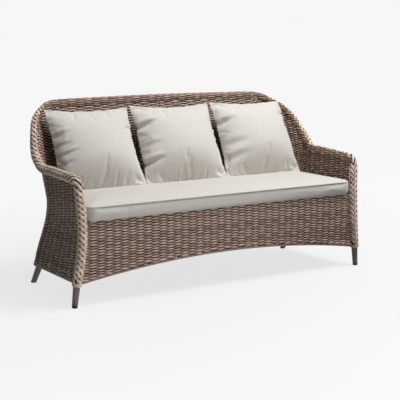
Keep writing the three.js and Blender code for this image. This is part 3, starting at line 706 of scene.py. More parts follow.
@dataclass(frozen=True)
class CoatFinish:
    """Satin powder coat with its fine skin, soft mottling, and dust towards the floor."""

    name: str
    colour: Triple
    roughness: float = 0.42
    metallic: float = 0.15
    roughness_spread: Pair = (-0.08, 0.1)
    tone_spread: Pair = (0.85, 1.15)
    mottle_noise: Pair = (22.0, 4.0)
    dust_colour: Triple = (150, 140, 130)
    dust_height: float = 0.07
    dust_share: float = 0.35
    skin_noise: Pair = (900.0, 2.0)
    skin_strength: float = 0.25
    skin_relief: float = 0.0002

    def material(self) -> Material:
        """Builds the material on Object coordinates.

        Returns:
            The material.
        """
        shader = Shader(self.name)
        where = shader.add("ShaderNodeTexCoord").outputs["Object"]
        skin = shader.noise(where, *self.skin_noise)
        mottle = shader.noise(where, *self.mottle_noise)
        height = shader.add("ShaderNodeSeparateXYZ", None, {0: where}).outputs[2]
        low = shader.remap(height, 0.0, self.dust_height, self.dust_share, 0.0)
        dust = shader.maths("MULTIPLY", low, mottle)
        tones = [shade(self.colour, factor) for factor in self.tone_spread]
        body = shader.mixed(mottle, *tones)
        shader.feed("Base Color", shader.mixed(dust, body, shade(self.dust_colour)))
        limits = [self.roughness + spread for spread in self.roughness_spread]
        shader.feed("Roughness", shader.remap(mottle, *NOISE_RANGE, *limits))
        shader.feed("Metallic", self.metallic)
        shader.bump(skin, self.skin_strength, self.skin_relief)
        return shader.material


@dataclass(frozen=True)
class ClothFinish:
    """Plain-woven outdoor cloth: crossing threads, a soft fleck from yarn to yarn, and a slight nap."""

    name: str
    colour: Triple
    fleck: Triple
    thread: float = 0.0011
    yarn_stretch: float = 9.0
    yarn_noise: Pair = (130.0, 3.0)
    fleck_range: Pair = (0.75, 1.25)
    soil_noise: Pair = (4.0, 3.0)
    soil_range: Pair = (0.4, 0.75)
    soil_share: float = 0.18
    roughness: float = 0.92
    nap: float = 0.25
    nap_roughness: float = 0.5
    specular: float = 0.25
    thread_share: float = 0.35
    fleck_share: float = 0.5
    relief_strength: float = 0.5
    relief: float = 0.00018

    def material(self) -> Material:
        """Builds the material on Object coordinates, so that remeshed cloth keeps its weave.

        Returns:
            The material.
        """
        shader = Shader(self.name)
        where = shader.add("ShaderNodeTexCoord").outputs["Object"]
        axes = shader.add("ShaderNodeSeparateXYZ", None, {0: where}).outputs
        turn = math.pi / self.thread
        waves = [shader.maths("SINE", shader.maths("MULTIPLY", axis, turn)) for axis in axes]
        crossing = shader.maths("MULTIPLY", waves[0], shader.maths("ADD", waves[1], waves[2]))
        thin = self.yarn_stretch
        yarn, slub = (shader.noise(shader.stretched(where, scale), *self.yarn_noise) for scale in
                      ((1.0, thin, thin), (thin, 1.0, 1.0)))
        fleck = shader.remap(shader.maths("ADD", yarn, slub), *self.fleck_range)
        soil = shader.remap(shader.noise(where, *self.soil_noise), *self.soil_range, 0.0, self.soil_share)
        body = shader.mixed(fleck, shade(self.fleck), shade(self.colour))
        body = shader.mixed(soil, body, shade(self.fleck))
        shader.feed("Base Color", body)
        shader.feed("Roughness", self.roughness)
        shader.feed("Sheen Weight", self.nap)
        shader.feed("Sheen Roughness", self.nap_roughness)
        shader.feed("Specular IOR Level", self.specular)
        flecked = shader.maths("MULTIPLY", fleck, self.fleck_share)
        height = shader.maths("MULTIPLY_ADD", crossing, self.thread_share, flecked)
        shader.bump(height, self.relief_strength, self.relief)
        return shader.material


@dataclass(frozen=True)
class RubberFinish:
    """Moulded black rubber with a grain and pale scuffs near the floor."""

    name: str
    colour: Triple = (24, 23, 23)
    scuff_colour: Triple = (96, 92, 88)
    grain_noise: Pair = (1400.0, 2.0)
    scuff_scale: Triple = (1.0, 1.0, 4.0)
    scuff_noise: Pair = (160.0, 4.0)
    scuff_range: Pair = (0.5, 0.7)
    scuff_height: float = 0.012
    scuff_shares: Pair = (0.7, 0.05)
    roughness_range: Pair = (0.6, 0.8)
    grain_strength: float = 0.3
    grain_relief: float = 0.00015

    def material(self) -> Material:
        """Builds the material on Object coordinates.

        Returns:
            The material.
        """
        shader = Shader(self.name)
        where = shader.add("ShaderNodeTexCoord").outputs["Object"]
        grain = shader.noise(where, *self.grain_noise)
        scuff = shader.noise(shader.stretched(where, self.scuff_scale), *self.scuff_noise)
        height = shader.add("ShaderNodeSeparateXYZ", None, {0: where}).outputs[2]
        low = shader.remap(height, 0.0, self.scuff_height, *self.scuff_shares)
        worn = shader.maths("MULTIPLY", low, shader.remap(scuff, *self.scuff_range))
        body = shader.mixed(worn, shade(self.colour), shade(self.scuff_colour))
        shader.feed("Base Color", body)
        shader.feed("Roughness", shader.remap(grain, *NOISE_RANGE, *self.roughness_range))
        shader.bump(grain, self.grain_strength, self.grain_relief)
        return shader.material


class Finishes:
    """Every material of the sofa, made once."""

    def __init__(self) -> None:
        """Makes the materials."""
        # The third colour of each strand finish is painted shade, laid on the faces that lie deep in the
        # weave.
        painted_shade = (44, 30, 25)
        self.weave = StrandFinish("weave", (146, 121, 107), (198, 170, 154), painted_shade).material()
        self.braid = StrandFinish("braid", (200, 175, 157), (238, 218, 201), (84, 64, 53)).material()
        self.rope = StrandFinish("rope", (138, 120, 108), (186, 166, 152), painted_shade).material()
        # The stakes are real uprights, but this near-black finish is painted shade: it stands in for the
        # shade in the gaps between rows.
        self.stake = StrandFinish("stake", (58, 43, 36), (74, 57, 49), painted_shade).material()
        # This near-black tube under the plait is painted shade, seen through the plait's gaps.
        self.underlay = StrandFinish("underlay", (52, 38, 32), (66, 50, 43), (40, 28, 24)).material()
        self.coat = CoatFinish("powder_coat", (92, 80, 75)).material()
        self.cloth = ClothFinish("cushion_cloth", (214, 210, 204), (196, 191, 184)).material()
        self.piping = ClothFinish("piping_cloth", (206, 201, 194), (186, 181, 174)).material()
        self.rubber = RubberFinish("cap_rubber").material()
        self.zip_tape = ClothFinish("zip_tape", (198, 192, 183), (176, 170, 161), thread=0.0006).material()
        self.zip_metal = CoatFinish("zip_metal", (146, 143, 137), roughness=0.3, metallic=0.9).material()


def finish_piece(piece: Object, body: str, material: Material,
                 stands_for: tuple[str, ...] = ()) -> Object:
    """Dresses a piece and ties it to its body.

    Args:
        piece: the piece, in its place.
        body: the body that it rides on.
        material: its material.
        stands_for: the nodes that it replaces.

    Returns:
        The same piece.
    """
    piece.data.materials.clear()
    piece.data.materials.append(material)
    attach(piece, body)
    if stands_for:
        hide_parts(*stands_for)
    log.info("%s: %d points, rides on %s", piece.name, len(piece.data.vertices), body)
    return piece


@dataclass
class WovenShell:
    """The sides, wings and back: level rows in and out of upright stakes, the last of them on the roll."""

    form: SofaForm
    rim: Rim
    finishes: Finishes
    row_pitch: float = 0.0064
    half_wide: float = 0.0035
    crown_widening: float = 0.0010
    half_thick: float = 0.0025
    swing: float = 0.0029
    upright_swing: float = 0.0050
    upright_reach: float = 0.45
    upright_fade: int = 6
    cells: tuple = (9, 8, 13)
    steps_per_cell: int = 6
    least_cells: float = 0.3
    least_points: int = 4
    waves: tuple = ((0.0003, 2.3, 1.7), (0.0002, 5.1, 4.3))
    sides: int = 6
    row_seeds: tuple = (1, 101, 201)
    stake_seeds: tuple = (900, 901, 902)
    # Real uprights, drawn wide and thin so that their dark finish fills the gaps between rows with painted
    # shade; stake_crown shades their inner faces further.
    stake_half_wide: float = 0.0125
    stake_half_thick: float = 0.0008
    stake_sides: int = 4
    stake_crown: float = 0.6
    stake_step: float = 0.012
    curl_radius: float = 0.0196
    curl_swing: float = 0.0024
    curl_ease: float = 0.28
    passing_calm: float = 0.65
    passing_widening: float = 0.0018
    edge_ease: Pair = (-0.006, 0.016)
    edge_lift: float = 0.0048
    edge_calm: float = 0.6
    edge_widening: float = 0.0012
    curl_stations: tuple = (0.0, 0.12, 0.30, 0.90, 1.15, 1.75, 2.02, 3.0)
    curl_ends_degrees: tuple = (34, 56, 72, 68, 56, 62, 128, 128)
    least_slope: float = 0.3
    rim_clearance: float = 0.002
    slope_step: float = 0.001
    search_steps: int = 1201
    panel_steps: int = 200

    @property
    def marks(self) -> Array:
        """The cells at which the panels start and end."""
        return np.concatenate([[0], np.cumsum(self.cells)])

    def cell_of(self, station: Array) -> Array:
        """The cell that a station lies in, counted from the post; whole numbers are stakes."""
        return np.interp(station, np.arange(len(self.marks)), self.marks)

    def station_of(self, cell: Array) -> Array:
        """The station of each cell."""
        return np.interp(cell, self.marks, np.arange(len(self.marks)))

    def swing_at(self, cell: Array, share: Array) -> Array:
        """How far strands swing in and out: more where an upright stands in the weave.

        That more is upright_swing e^-(cells away / upright_reach)^2 (1 - share)^upright_fade.

        Args:
            cell: the cells.
            share: how much of each place lies on the roll, where the uprights have ended.

        Returns:
            The swings.
        """
        away = np.min(np.abs(cell[..., None] - self.marks[1:]), axis=-1)
        more = self.upright_swing * np.exp(-((away / self.upright_reach) ** 2))
        return self.swing + more * (1 - share) ** self.upright_fade

    @property
    def row_low(self) -> float:
        """The height of the lowest row, which lies on the rope and in front of the edge tube."""
        return self.form.skin_low - self.form.ring_tube_diameter + self.half_wide

    def over_tube(self, above: Array) -> Array:
        """How much a row lies over the edge tube, 0 to 1, from its height above the tube's top."""
        return 1 - smooth_step(*self.edge_ease, above)

    def surface(self, station: Array, height: Array) -> tuple[Array, Array]:
        """The weave's middle surface and its outward direction, from the slopes along both parameters.

        Args:
            station: stations.
            height: heights.

        Returns:
            Points and unit directions.
        """
        step = self.slope_step
        places = ((station, height), (np.minimum(station + step, 3), height),
                  (np.maximum(station - step, 0), height), (station, height + step))
        here, after, before, above = (
            self.form.shell_point(along, up, self.form.middle_depth, self.rim) for along, up in places)
        return here, unit(np.cross(after - before, above - here))

    def rise_of(self, station: Array) -> tuple[Array, Array]:
        """The rim's height, and the roll's upright reach: its radius times how level it runs.

        Args:
            station: stations.

        Returns:
            Heights and reaches.
        """
        length = self.rim.length_of(station)
        level = np.maximum(self.rim.at_length(length, self.rim.upward)[..., 2], self.least_slope)
        return self.rim.at_length(length)[..., 2], self.form.roll_radius * level

    def first_turn(self) -> float:
        """Where a row meets the roll: the shell's middle surface cuts the roll's circle there."""
        inset = self.form.skin_inset + self.form.middle_depth
        return -math.acos(inset / self.curl_radius)

    def last_turn(self, station: Array) -> Array:
        """How far round the roll the rows reach: part way up the arms and wings, and right over the back."""
        return np.radians(np.interp(station, self.curl_stations, self.curl_ends_degrees))

    def meeting_level(self, station: Array) -> tuple[Array, Array]:
        """The level at which a row meets the roll, and the roll's upright reach there."""
        rim_height, reach = self.rise_of(station)
        return rim_height + reach * math.sin(self.first_turn()), reach

    def last_level(self, station: Array) -> Array:
        """The level of the last row that has room."""
        meeting, reach = self.meeting_level(station)
        return meeting + reach * (self.last_turn(station) - self.first_turn())

    def stretches(self, level: float) -> list[tuple[float, float]]:
        """The stretches of stations in which a row has room on the roll or under it.

        Args:
            level: the row's level.

        Returns:
            The first and last station of each.
        """
        stations = np.linspace(0, 3, self.search_steps)
        room = self.last_level(stations) >= level
        edges = np.flatnonzero(np.diff(np.concatenate([[0], room.astype(int), [0]])))
        return [(stations[first], stations[last - 1]) for first, last in edges.reshape(-1, 2)]

    def curled(self, station: Array, level: Array) -> tuple[Array, Array, Array]:
        """The weave's surface, carried from the shell onto the inner side of the roll.

        Below the roll a row's level is its height. From there on its turn round the roll is the first turn
        plus (level - meeting level) / upright reach, and it passes from one to the other over a short ease.

        Args:
            station: stations.
            level: the rows' levels.

        Returns:
            Points, outward directions and how much of each lies on the roll.
        """
        meeting, reach = self.meeting_level(station)
        first = self.first_turn()
        turn = first + (level - meeting) / reach
        share = smooth_step(first - self.curl_ease, first + self.curl_ease, turn)
        rim_height, _ = self.rise_of(station)
        skin, out = self.surface(station, np.minimum(level, rim_height - self.rim_clearance))
        angle = np.pi - np.maximum(turn, -np.pi / 2)
        roll, away = self.rim.on_roll(self.rim.length_of(station), angle, self.curl_radius)
        mix = share[..., None]
        return blend_between(skin, roll, mix), unit(blend_between(out, -away, mix)), share

    def add_row(self, bundle: StrandBundle, row: int, level: float, panel: Panel) -> None:
        """Adds one strand: the middle surface plus swing cos(pi (cell + row)) outward.

        Where it passes on to the roll, and over the edge tube, it swings less and is wider, so that the rows
        close up; over the tube it is lifted outward too.

        Args:
            bundle: where it goes.
            row: the row's number, which sets its phase.
            level: the row's level.
            panel: the panel that it crosses.
        """
        for stretch in self.stretches(level):
            low, high = self.cell_of(np.clip(stretch, panel.value, panel.value + 1))
            if high - low < self.least_cells:
                continue
            steps = max(self.least_points, math.ceil((high - low) * self.steps_per_cell) + 1)
            cell = np.linspace(low, high, steps)
            point, out, share = self.curled(self.station_of(cell), level + wavering(cell, row, self.waves))
            phase = np.cos(np.pi * (cell + row))
            passing = 4 * share * (1 - share)
            tube = self.over_tube(level - self.form.skin_low)
            swing = blend_between(self.swing_at(cell, share), self.curl_swing, share)
            swing = swing * (1 - self.passing_calm * passing)
            swing = swing * (1 - self.edge_calm * tube) * phase + self.edge_lift * tube
            wide = self.half_wide + self.crown_widening * phase**2 + self.passing_widening * passing
            wide = wide + self.edge_widening * tube
            bundle.add(point + out * swing[:, None], out, wide, self.half_thick, phase)

    def add_stakes(self, bundle: StrandBundle, panel: Panel) -> None:
        """Adds the flat upright stakes between the strands, from the lower edge up under the roll; their
        near-black finish paints shade into the gaps between rows.

        Args:
            bundle: where they go.
            panel: the panel that they stand in.
        """
        first, last = self.marks[panel.value:panel.value + 2]
        for cell in range(first + (panel is Panel.SIDE), last + (panel is Panel.BACK)):
            station = self.station_of(cell)
            top = min(self.last_level(station), self.rise_of(station)[0])
            level = np.linspace(self.row_low, top, round(top / self.stake_step))
            point, out, _ = self.curled(np.full_like(level, station), level)
            bundle.add(point, out, self.stake_half_wide, self.stake_half_thick, self.stake_crown)

    def build(self) -> None:
        """Builds each panel on both sides, with its stakes as a piece of their own."""
        for side in Side:
            for panel in Panel:
                bundle = StrandBundle(self.sides, self.row_seeds[panel.value] + side.value)
                stations = np.linspace(panel.value, panel.value + 1, self.panel_steps)
                rows = int((self.last_level(stations).max() - self.row_low) / self.row_pitch) + 1
                for row in range(rows):
                    self.add_row(bundle, row, self.row_low + row * self.row_pitch, panel)
                bundle.make(f"{panel.word}_weave_{side.word}", self.finishes.weave,
                            (f"woven_{panel.word}_{side.word}",), side)
                bundle = StrandBundle(self.stake_sides, self.stake_seeds[panel.value])
                self.add_stakes(bundle, panel)
                bundle.make(f"{panel.word}_stakes_{side.word}", self.finishes.stake, side=side)


@dataclass
class WovenApron:
    """The front panel under the seat, whose rows are cut by the arch of its lower edge."""

    shell: WovenShell
    stake_pitch: float = 0.0405
    post_cover: float = 0.0005
    least_cells: float = 0.2
    least_points: int = 3
    waves: tuple = ((0.0005, 2.1, 1.3), (0.0003, 4.7, 3.9))
    seeds: tuple = (41, 42)

    def half_span(self, height: float) -> float:
        """Half the row's length at one height, into the rolls of the posts."""
        form = self.shell.form
        return float(form.shell_point(0.0, height, form.skin_thickness, self.shell.rim)[0]) - self.post_cover

    def add_row(self, bundle: StrandBundle, row: int, height: float) -> None:
        """Adds one row like the shell's, in two lengths where the arch cuts it.

        Args:
            bundle: where it goes.
            row: the row's number.
            height: its height.
        """
        shell, form = self.shell, self.shell.form
        span = self.half_span(height)
        rise = (height + shell.half_wide - shell.row_low) / form.apron_arch
        cut = form.post_x * math.sqrt(1 - rise) if rise < 1 else 0.0
        lengths = [(-span, -cut), (cut, span)] if cut else [(-span, span)]
        for start, end in lengths:
            if end - start < self.least_cells * self.stake_pitch:
                continue
            steps = math.ceil((end - start) / self.stake_pitch * shell.steps_per_cell) + 1
            x = np.linspace(start, end, max(self.least_points, steps))
            cell = x / self.stake_pitch
            phase = np.cos(np.pi * (cell + row))
            path = form.apron_point(x, height + wavering(cell, row, self.waves), form.middle_depth)
            tube = shell.over_tube(height - form.skin_low - form.arch_height(x))
            swing = shell.swing * (1 - shell.edge_calm * tube) * phase + shell.edge_lift * tube
            wide = shell.half_wide + shell.crown_widening * phase**2 + shell.edge_widening * tube
            bundle.add(path + FORWARD * swing[:, None], FORWARD, wide, shell.half_thick, phase)

    def build(self) -> None:
        """Builds the rows as one piece and the stakes as another."""
        shell, form = self.shell, self.shell.form
        row_seed, stake_seed = self.seeds
        bundle = StrandBundle(shell.sides, row_seed)
        for row in range(int((form.deck_height - shell.row_low) / shell.row_pitch) + 1):
            self.add_row(bundle, row, shell.row_low + row * shell.row_pitch)
        bundle.make("apron_weave", shell.finishes.weave, ("woven_apron",))
        bundle = StrandBundle(shell.stake_sides, stake_seed)
        reach = int(self.half_span(form.deck_height) / self.stake_pitch)
        for x in self.stake_pitch * np.arange(-reach, reach + 1):
            foot = shell.row_low + form.arch_height(x)
            height = np.linspace(foot, form.deck_height, round(form.deck_height / shell.stake_step))
            path = form.apron_point(x, height, form.middle_depth)
            bundle.add(path, FORWARD, shell.stake_half_wide, shell.stake_half_thick, shell.stake_crown)
        bundle.make("apron_stakes", shell.finishes.stake)


@dataclass
class BraidedRoll:
    """The plait on the roll: strands wind both ways from one line, over and under lengthwise columns."""

    shell: WovenShell
    strand_pitch: float = 0.0130
    columns: int = 8
    slant: float = math.radians(29)
    float_share: float = 0.68
    half_wide: float = 0.0062
    half_thick: float = 0.0026
    radius: float = 0.0203
    dive: float = 0.0036
    dive_power: float = 2.4
    thinning: float = 0.5
    crown_fall: float = 1.1
    foot: float = 0.016
    steps: int = 8
    sides: int = 6
    post_seam: float = math.radians(122.7)
    arm_seam: float = math.radians(180)
    seam_ease: Pair = (-0.02, 0.16)
    post_margin: float = 0.01
    low_limit: float = math.radians(-96)
    overlap: float = math.radians(16)
    # The dark tube under the plait: painted shade that fills its gaps.
    core_radius: float = 0.0160
    core_sides: int = 12
    core_step: float = 0.02
    core_foot: float = 0.004
    core_seed: int = 7
    whipping_turns: int = 3
    whipping_steps: int = 40
    whipping_foot: float = 0.003
    whipping_proud: float = 0.0006
    level_steps: int = 200
    seeds: tuple = (60, 70)

    def __post_init__(self) -> None:
        """Takes the sofa's form, rim and finishes from the shell."""
        self.form, self.rim, self.finishes = self.shell.form, self.shell.rim, self.shell.finishes

    def seam_angle(self, length: Array) -> Array:
        """Where on the roll the strands set out: in front on the post, inside from the arm on."""
        share = smooth_step(*self.seam_ease, length - self.rim.station_lengths[0])
        return blend_between(self.post_seam, self.arm_seam, share)

    def covers(self, length: Array, angle: Array) -> Array:
        """Whether the plait shows there: all round the post, and from the bend on where no rows lie.

        Args:
            length: lengths along the rim.
            angle: angles round it.

        Returns:
            True or false for each.
        """
        post_top = self.rim.station_lengths[0]
        turned = np.mod(angle + np.pi, 2 * np.pi) - np.pi
        limit = np.pi + self.overlap - self.shell.last_turn(self.rim.station_of(length))
        near = np.where(turned < self.low_limit, turned + 2 * np.pi, turned)
        return (length < post_top + self.post_margin) | (near < limit)

    def add_floats(self, bundle: StrandBundle, start: float, end: float) -> None:
        """Adds the floats between two lengths: the stretches in which a strand lies over a column.

        A strand's turn from the seam grows with its length along the roll by tan slant / radius. A float
        runs over u from -1 to 1, float_share of a column to each side. Its ends dive by dive |u|^dive_power,
        and it thins by thinning u^4.

        Args:
            bundle: where they go.
            start: the first length along the rim.
            end: the last.
        """
        u = np.linspace(-1, 1, self.steps)
        column_angle = 2 * np.pi / self.columns
        advance = self.radius * column_angle / math.tan(self.slant)
        for way in (1, -1):
            for column in range(self.columns // 2):
                shift = (column + 0.5) * advance + self.strand_pitch * (column % 2 + (1 - way) / 4)
                first = start + (shift - start) % (2 * self.strand_pitch)
                middle = np.arange(first, end, 2 * self.strand_pitch)
                angle = self.seam_angle(middle) + way * (column + 0.5) * column_angle
                kept = self.covers(middle, angle)
                if not kept.any():
                    continue
                middle, angle = middle[kept], angle[kept]
                length = np.clip(middle[:, None] + u * self.float_share * advance, 0, self.rim.lengths[-1])
                turn = angle[:, None] + way * u * self.float_share * column_angle
                radius = self.radius - self.dive * np.abs(u) ** self.dive_power
                path, out = self.rim.on_roll(length, turn, radius)
                bulk = 1 - self.thinning * u**4
                # Painted shade: the crown value falls towards each float's ends, so the braid material
                # darkens them where they dive under.
                crown = 1 - self.crown_fall * np.abs(u) ** 3
                bundle.add(path, out, self.half_wide * bulk, self.half_thick * bulk, crown)

    def add_whipping(self, bundle: StrandBundle) -> None:
        """Adds the turns that bind the foot of the post, a low helix of round strand.

        Args:
            bundle: where they go.
        """
        share = np.linspace(0, 1, self.whipping_turns * self.whipping_steps)
        length = self.whipping_foot + share * self.whipping_turns * 2 * self.half_thick
        angle = 2 * np.pi * self.whipping_turns * share
        path, out = self.rim.on_roll(length, angle, self.radius + self.whipping_proud)
        bundle.add(path, out, self.half_thick, self.half_thick, 1)

    def core(self, side: Side) -> None:
        """Builds the tube round the rim that the plait is wound over; its near-black colour is painted
        shade, seen through the plait's gaps.

        Args:
            side: the side of the sofa.
        """
        end = self.rim.lengths[-1]
        length = np.linspace(self.core_foot, end, round(end / self.core_step))
        bundle = StrandBundle(self.core_sides, self.core_seed)
        path, out = self.rim.at_length(length), self.rim.at_length(length, self.rim.outward)
        bundle.add(path, out, self.core_radius, self.core_radius, 0)
        bundle.make(f"roll_underlay_{side.word}", self.finishes.underlay, side=side)

    def build(self) -> None:
        """Builds the two side rolls, the roll along the back and the dark tube of painted shade under them.

        The seam between them is looked for over the rim's last points, where its X only falls.
        """
        seam_x = self.form.back_half_width - self.form.roll_seam_inset
        level = slice(-self.level_steps, None)
        seam = float(np.interp(-seam_x, -self.rim.points[level, 0], self.rim.lengths[level]))
        side_seed, back_seed = self.seeds
        for side in Side:
            bundle = StrandBundle(self.sides, side_seed + side.value)
            self.add_floats(bundle, self.foot, seam)
            self.add_whipping(bundle)
            bundle.make(f"plait_{side.word}", self.finishes.braid,
                        (f"braided_roll_{side.word}",), side)
            bundle = StrandBundle(self.sides, back_seed + side.value)
            self.add_floats(bundle, seam, self.rim.lengths[-1])
            bundle.make(f"plait_back_{side.word}", self.finishes.braid,
                        ("braided_roll_back",), side)
            self.core(side)


@dataclass
class RopeBorder:
    """The twisted rope along the lower edge: strands wound round one line."""

    form: SofaForm
    rim: Rim
    finishes: Finishes
    strands: int = 3
    strand_radius: float = 0.0034
    wind_radius: float = 0.0034
    lay: float = 0.034
    step: float = 0.0035
    sides: int = 6
    front_steps: int = 200
    panel_steps: tuple = (60, 40, 60)
    seeds: tuple = (81, 82)
    knot_turns: int = 4
    knot_radius: float = 0.0082
    knot_steps: int = 20
    knot_station: float = 1.5
    knot_flatness: float = 0.8

    def add_rope(self, bundle: StrandBundle, path: Array, out: Array) -> None:
        """Adds a rope: each strand is the line plus wind_radius turned round it once every lay.

        Args:
            bundle: where it goes.
            path: the rope's line.
            out: a direction across the line.
        """
        lengths = arc_lengths(path)
        run = np.linspace(0, lengths[-1], round(lengths[-1] / self.step))
        line = read_along(run, lengths, path)
        other = np.cross(out, unit(np.gradient(line, axis=0)))
        angle = 2 * np.pi * (run[None] / self.lay + np.arange(self.strands)[:, None] / self.strands)
        away = np.cos(angle)[..., None] * out + np.sin(angle)[..., None] * other
        bundle.add(line + self.wind_radius * away, away, self.strand_radius, self.strand_radius, 1)

    def add_knot(self, bundle: StrandBundle, path: Array, place: int) -> None:
        """Binds the rope with a few turns of strand side by side.

        Args:
            bundle: where they go.
            path: the rope's line.
            place: the number of the point that the knot sits on.
        """
        along = unit(path[place + 1] - path[place - 1])
        out = unit(np.cross(along, UP))
        other = np.cross(out, along)
        share = np.linspace(-0.5, 0.5, self.knot_turns * self.knot_steps)
        angle = 2 * np.pi * self.knot_turns * share
        away = np.cos(angle)[:, None] * out + np.sin(angle)[:, None] * other
        bulge = self.knot_radius * (1 - share**2)
        flat = self.strand_radius * self.knot_flatness
        line = path[place] + along * (share * self.knot_turns * 2 * flat)[:, None]
        bundle.add(line + away * bulge[:, None], away, self.strand_radius, flat, 1)

    def build(self) -> None:
        """Builds the front rope along the arch and the rear rope round the sides and back."""
        form = self.form
        front_seed, rear_seed = self.seeds
        x = np.linspace(-form.post_x, form.post_x, self.front_steps)
        front = form.apron_point(x, form.border_height + form.arch_height(x), form.middle_depth)
        bundle = StrandBundle(self.sides, front_seed)
        self.add_rope(bundle, front, FORWARD)
        bundle.make("rope_edge_front", self.finishes.rope, ("border_rope_front",))
        station = np.concatenate([np.linspace(start, start + 1, steps)[min(start, 1):]
                                  for start, steps in enumerate(self.panel_steps)])
        right = form.shell_point(station, form.border_height, form.middle_depth, self.rim)
        whole = np.vstack([right, right[-2::-1] * MIRROR])
        bundle = StrandBundle(self.sides, rear_seed)
        self.add_rope(bundle, whole, -UP)
        corner = int(np.argmin(np.abs(station - self.knot_station)))
        for place in (corner, len(whole) - 1 - corner):
            self.add_knot(bundle, whole, place)
        bundle.make("rope_edge_rear", self.finishes.rope, ("border_rope_rear",))


@dataclass
class SeatDeck:
    """The woven deck under the seat cushion: flat strands across it, over and under lengthwise ones."""

    form: SofaForm
    rim: Rim
    finishes: Finishes
    thickness: float = 0.010
    inset: float = 0.0173
    row_pitch: float = 0.0125
    stake_pitch: float = 0.062
    half_wide: float = 0.0057
    half_thick: float = 0.0016
    swing: float = 0.0026
    steps_per_cell: int = 6
    sides: int = 6
    seed: int = 91
    stake_half_wide: float = 0.004
    stake_half_thick: float = 0.0008
    stake_crown: float = 0.5
    stake_steps: int = 40
    rear_clearance: float = 0.004
    search_steps: int = 400

    def half_width(self, y: float) -> float:
        """Half the deck's width at one depth, read from the shell's plan at the deck's height."""
        plan = self.form.shell_point(np.linspace(0, 2, self.search_steps), self.form.deck_height,
                                     self.inset, self.rim)
        return float(np.interp(y, plan[:, 1], plan[:, 0]))

    def build(self) -> None:
        """Builds the rows, which swing up by swing cos(pi (cell + row)), and the lengthwise strands."""
        form = self.form
        front = float(form.apron_point(0.0, form.deck_height, self.inset)[1])
        back = float(form.shell_point(3.0, form.deck_height, self.inset, self.rim)[1])
        middle = form.deck_height - self.thickness / 2
        bundle = StrandBundle(self.sides, self.seed)
        for row in range(int((back - front) / self.row_pitch)):
            y = front + (row + 0.5) * self.row_pitch
            half = self.half_width(y)
            x = np.linspace(-half, half, math.ceil(2 * half / self.stake_pitch * self.steps_per_cell))
            phase = np.cos(np.pi * (x / self.stake_pitch + row))
            path = np.stack([x, np.full_like(x, y), middle + self.swing * phase], axis=1)
            bundle.add(path, UP, self.half_wide, self.half_thick, phase)
        reach = int(self.half_width(front) / self.stake_pitch)
        y = np.linspace(front, back - self.rear_clearance, self.stake_steps)
        for x in self.stake_pitch * np.arange(-reach, reach + 1):
            path = np.stack([np.full_like(y, x), y, np.full_like(y, middle)], axis=1)
            bundle.add(path, UP, self.stake_half_wide, self.stake_half_thick, self.stake_crown)
        bundle.make("seat_deck_weave", self.finishes.weave, ("woven_seat_deck",))


@dataclass
class MetalFrame:
    """The tubes, legs and caps, whose own shapes are right: they get their finishes."""

    finishes: Finishes
    soft_words: tuple = ("woven", "braided", "border", "cover", "foam", "piping", "pad")

    def build(self) -> None:
        """Gives every node that stays in view the material of its kind."""
        kinds = {"foot_cap": self.finishes.rubber, "seat_zip_chain": self.finishes.zip_tape,
                 "seat_zip_slider": self.finishes.zip_metal}
        for name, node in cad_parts.items():
            if any(word in name for word in self.soft_words):
                continue
            found = [material for start, material in kinds.items() if name.startswith(start)]
            node.data.materials.clear()
            node.data.materials.append(found[0] if found else self.finishes.coat)
            log.info("%s: %s", name, node.data.materials[0].name)


@dataclass(frozen=True)
class Inflation:
    """How a cushion is blown up: cloth under pressure, stepped for a while, with its movement capped."""

    growth: float
    cap: float
    bending: float
    pressure: float = 4.0
    mass: float = 0.3
    quality: int = 6
    last_frame: int = 20

    def run(self, piece: Object, held: Array | None = None) -> Array:
        """Simulates the piece and returns where its points went.

        Args:
            piece: the closed cushion.
            held: which of its points are held in place, or none.

        Returns:
            The new points, none further than the cap from where it was.
        """
        before = read_points(piece)
        cloth = piece.modifiers.new("cloth", "CLOTH")
        settings = cloth.settings
        settings.quality = self.quality
        settings.mass = self.mass
        settings.use_pressure = True
        settings.uniform_pressure_force = self.pressure
        settings.shrink_min = -self.growth
        settings.bending_stiffness = self.bending
        settings.effector_weights.gravity = 0
        cloth.collision_settings.use_collision = False
        cloth.point_cache.frame_end = self.last_frame
        if held is not None:
            group = piece.vertex_groups.new(name="held")
            group.add(np.flatnonzero(held).tolist(), 1.0, "REPLACE")
            settings.vertex_group_mass = "held"
        for number in range(1, self.last_frame + 1):
            bpy.context.scene.frame_set(number)
        shown = piece.evaluated_get(bpy.context.evaluated_depsgraph_get())
        after = points_of(shown.to_mesh())
        shown.to_mesh_clear()
        piece.modifiers.remove(cloth)
        bpy.context.scene.frame_set(1)
        move = after - before
        far = np.linalg.norm(move, axis=1, keepdims=True)
        return before + move * np.minimum(1.0, self.cap / np.maximum(far, 1e-9))


def points_of(mesh: Mesh) -> Array:
    """The points of a mesh as an array.

    Args:
        mesh: the mesh.

    Returns:
        One row for each point.
    """
    points = np.zeros(len(mesh.vertices) * 3, np.float32)
    mesh.vertices.foreach_get("co", points)
    return points.reshape(-1, 3).astype(float)


def read_points(piece: Object) -> Array:
    """The points of a piece's mesh as an array."""
    return points_of(piece.data)


def write_points(piece: Object, points: Array) -> None:
    """Puts an array of points back into a piece's mesh."""
    piece.data.vertices.foreach_set("co", points.astype(np.float32).ravel())
    piece.data.update()


def apply_modifiers(piece: Object) -> None:
    """Replaces a piece's mesh by the one that its modifiers give.

    Args:
        piece: the piece.
    """
    graph = bpy.context.evaluated_depsgraph_get()
    mesh = bpy.data.meshes.new_from_object(piece.evaluated_get(graph))
    piece.modifiers.clear()
    piece.data = mesh
    mesh.polygons.foreach_set("use_smooth", np.ones(len(mesh.polygons), bool))


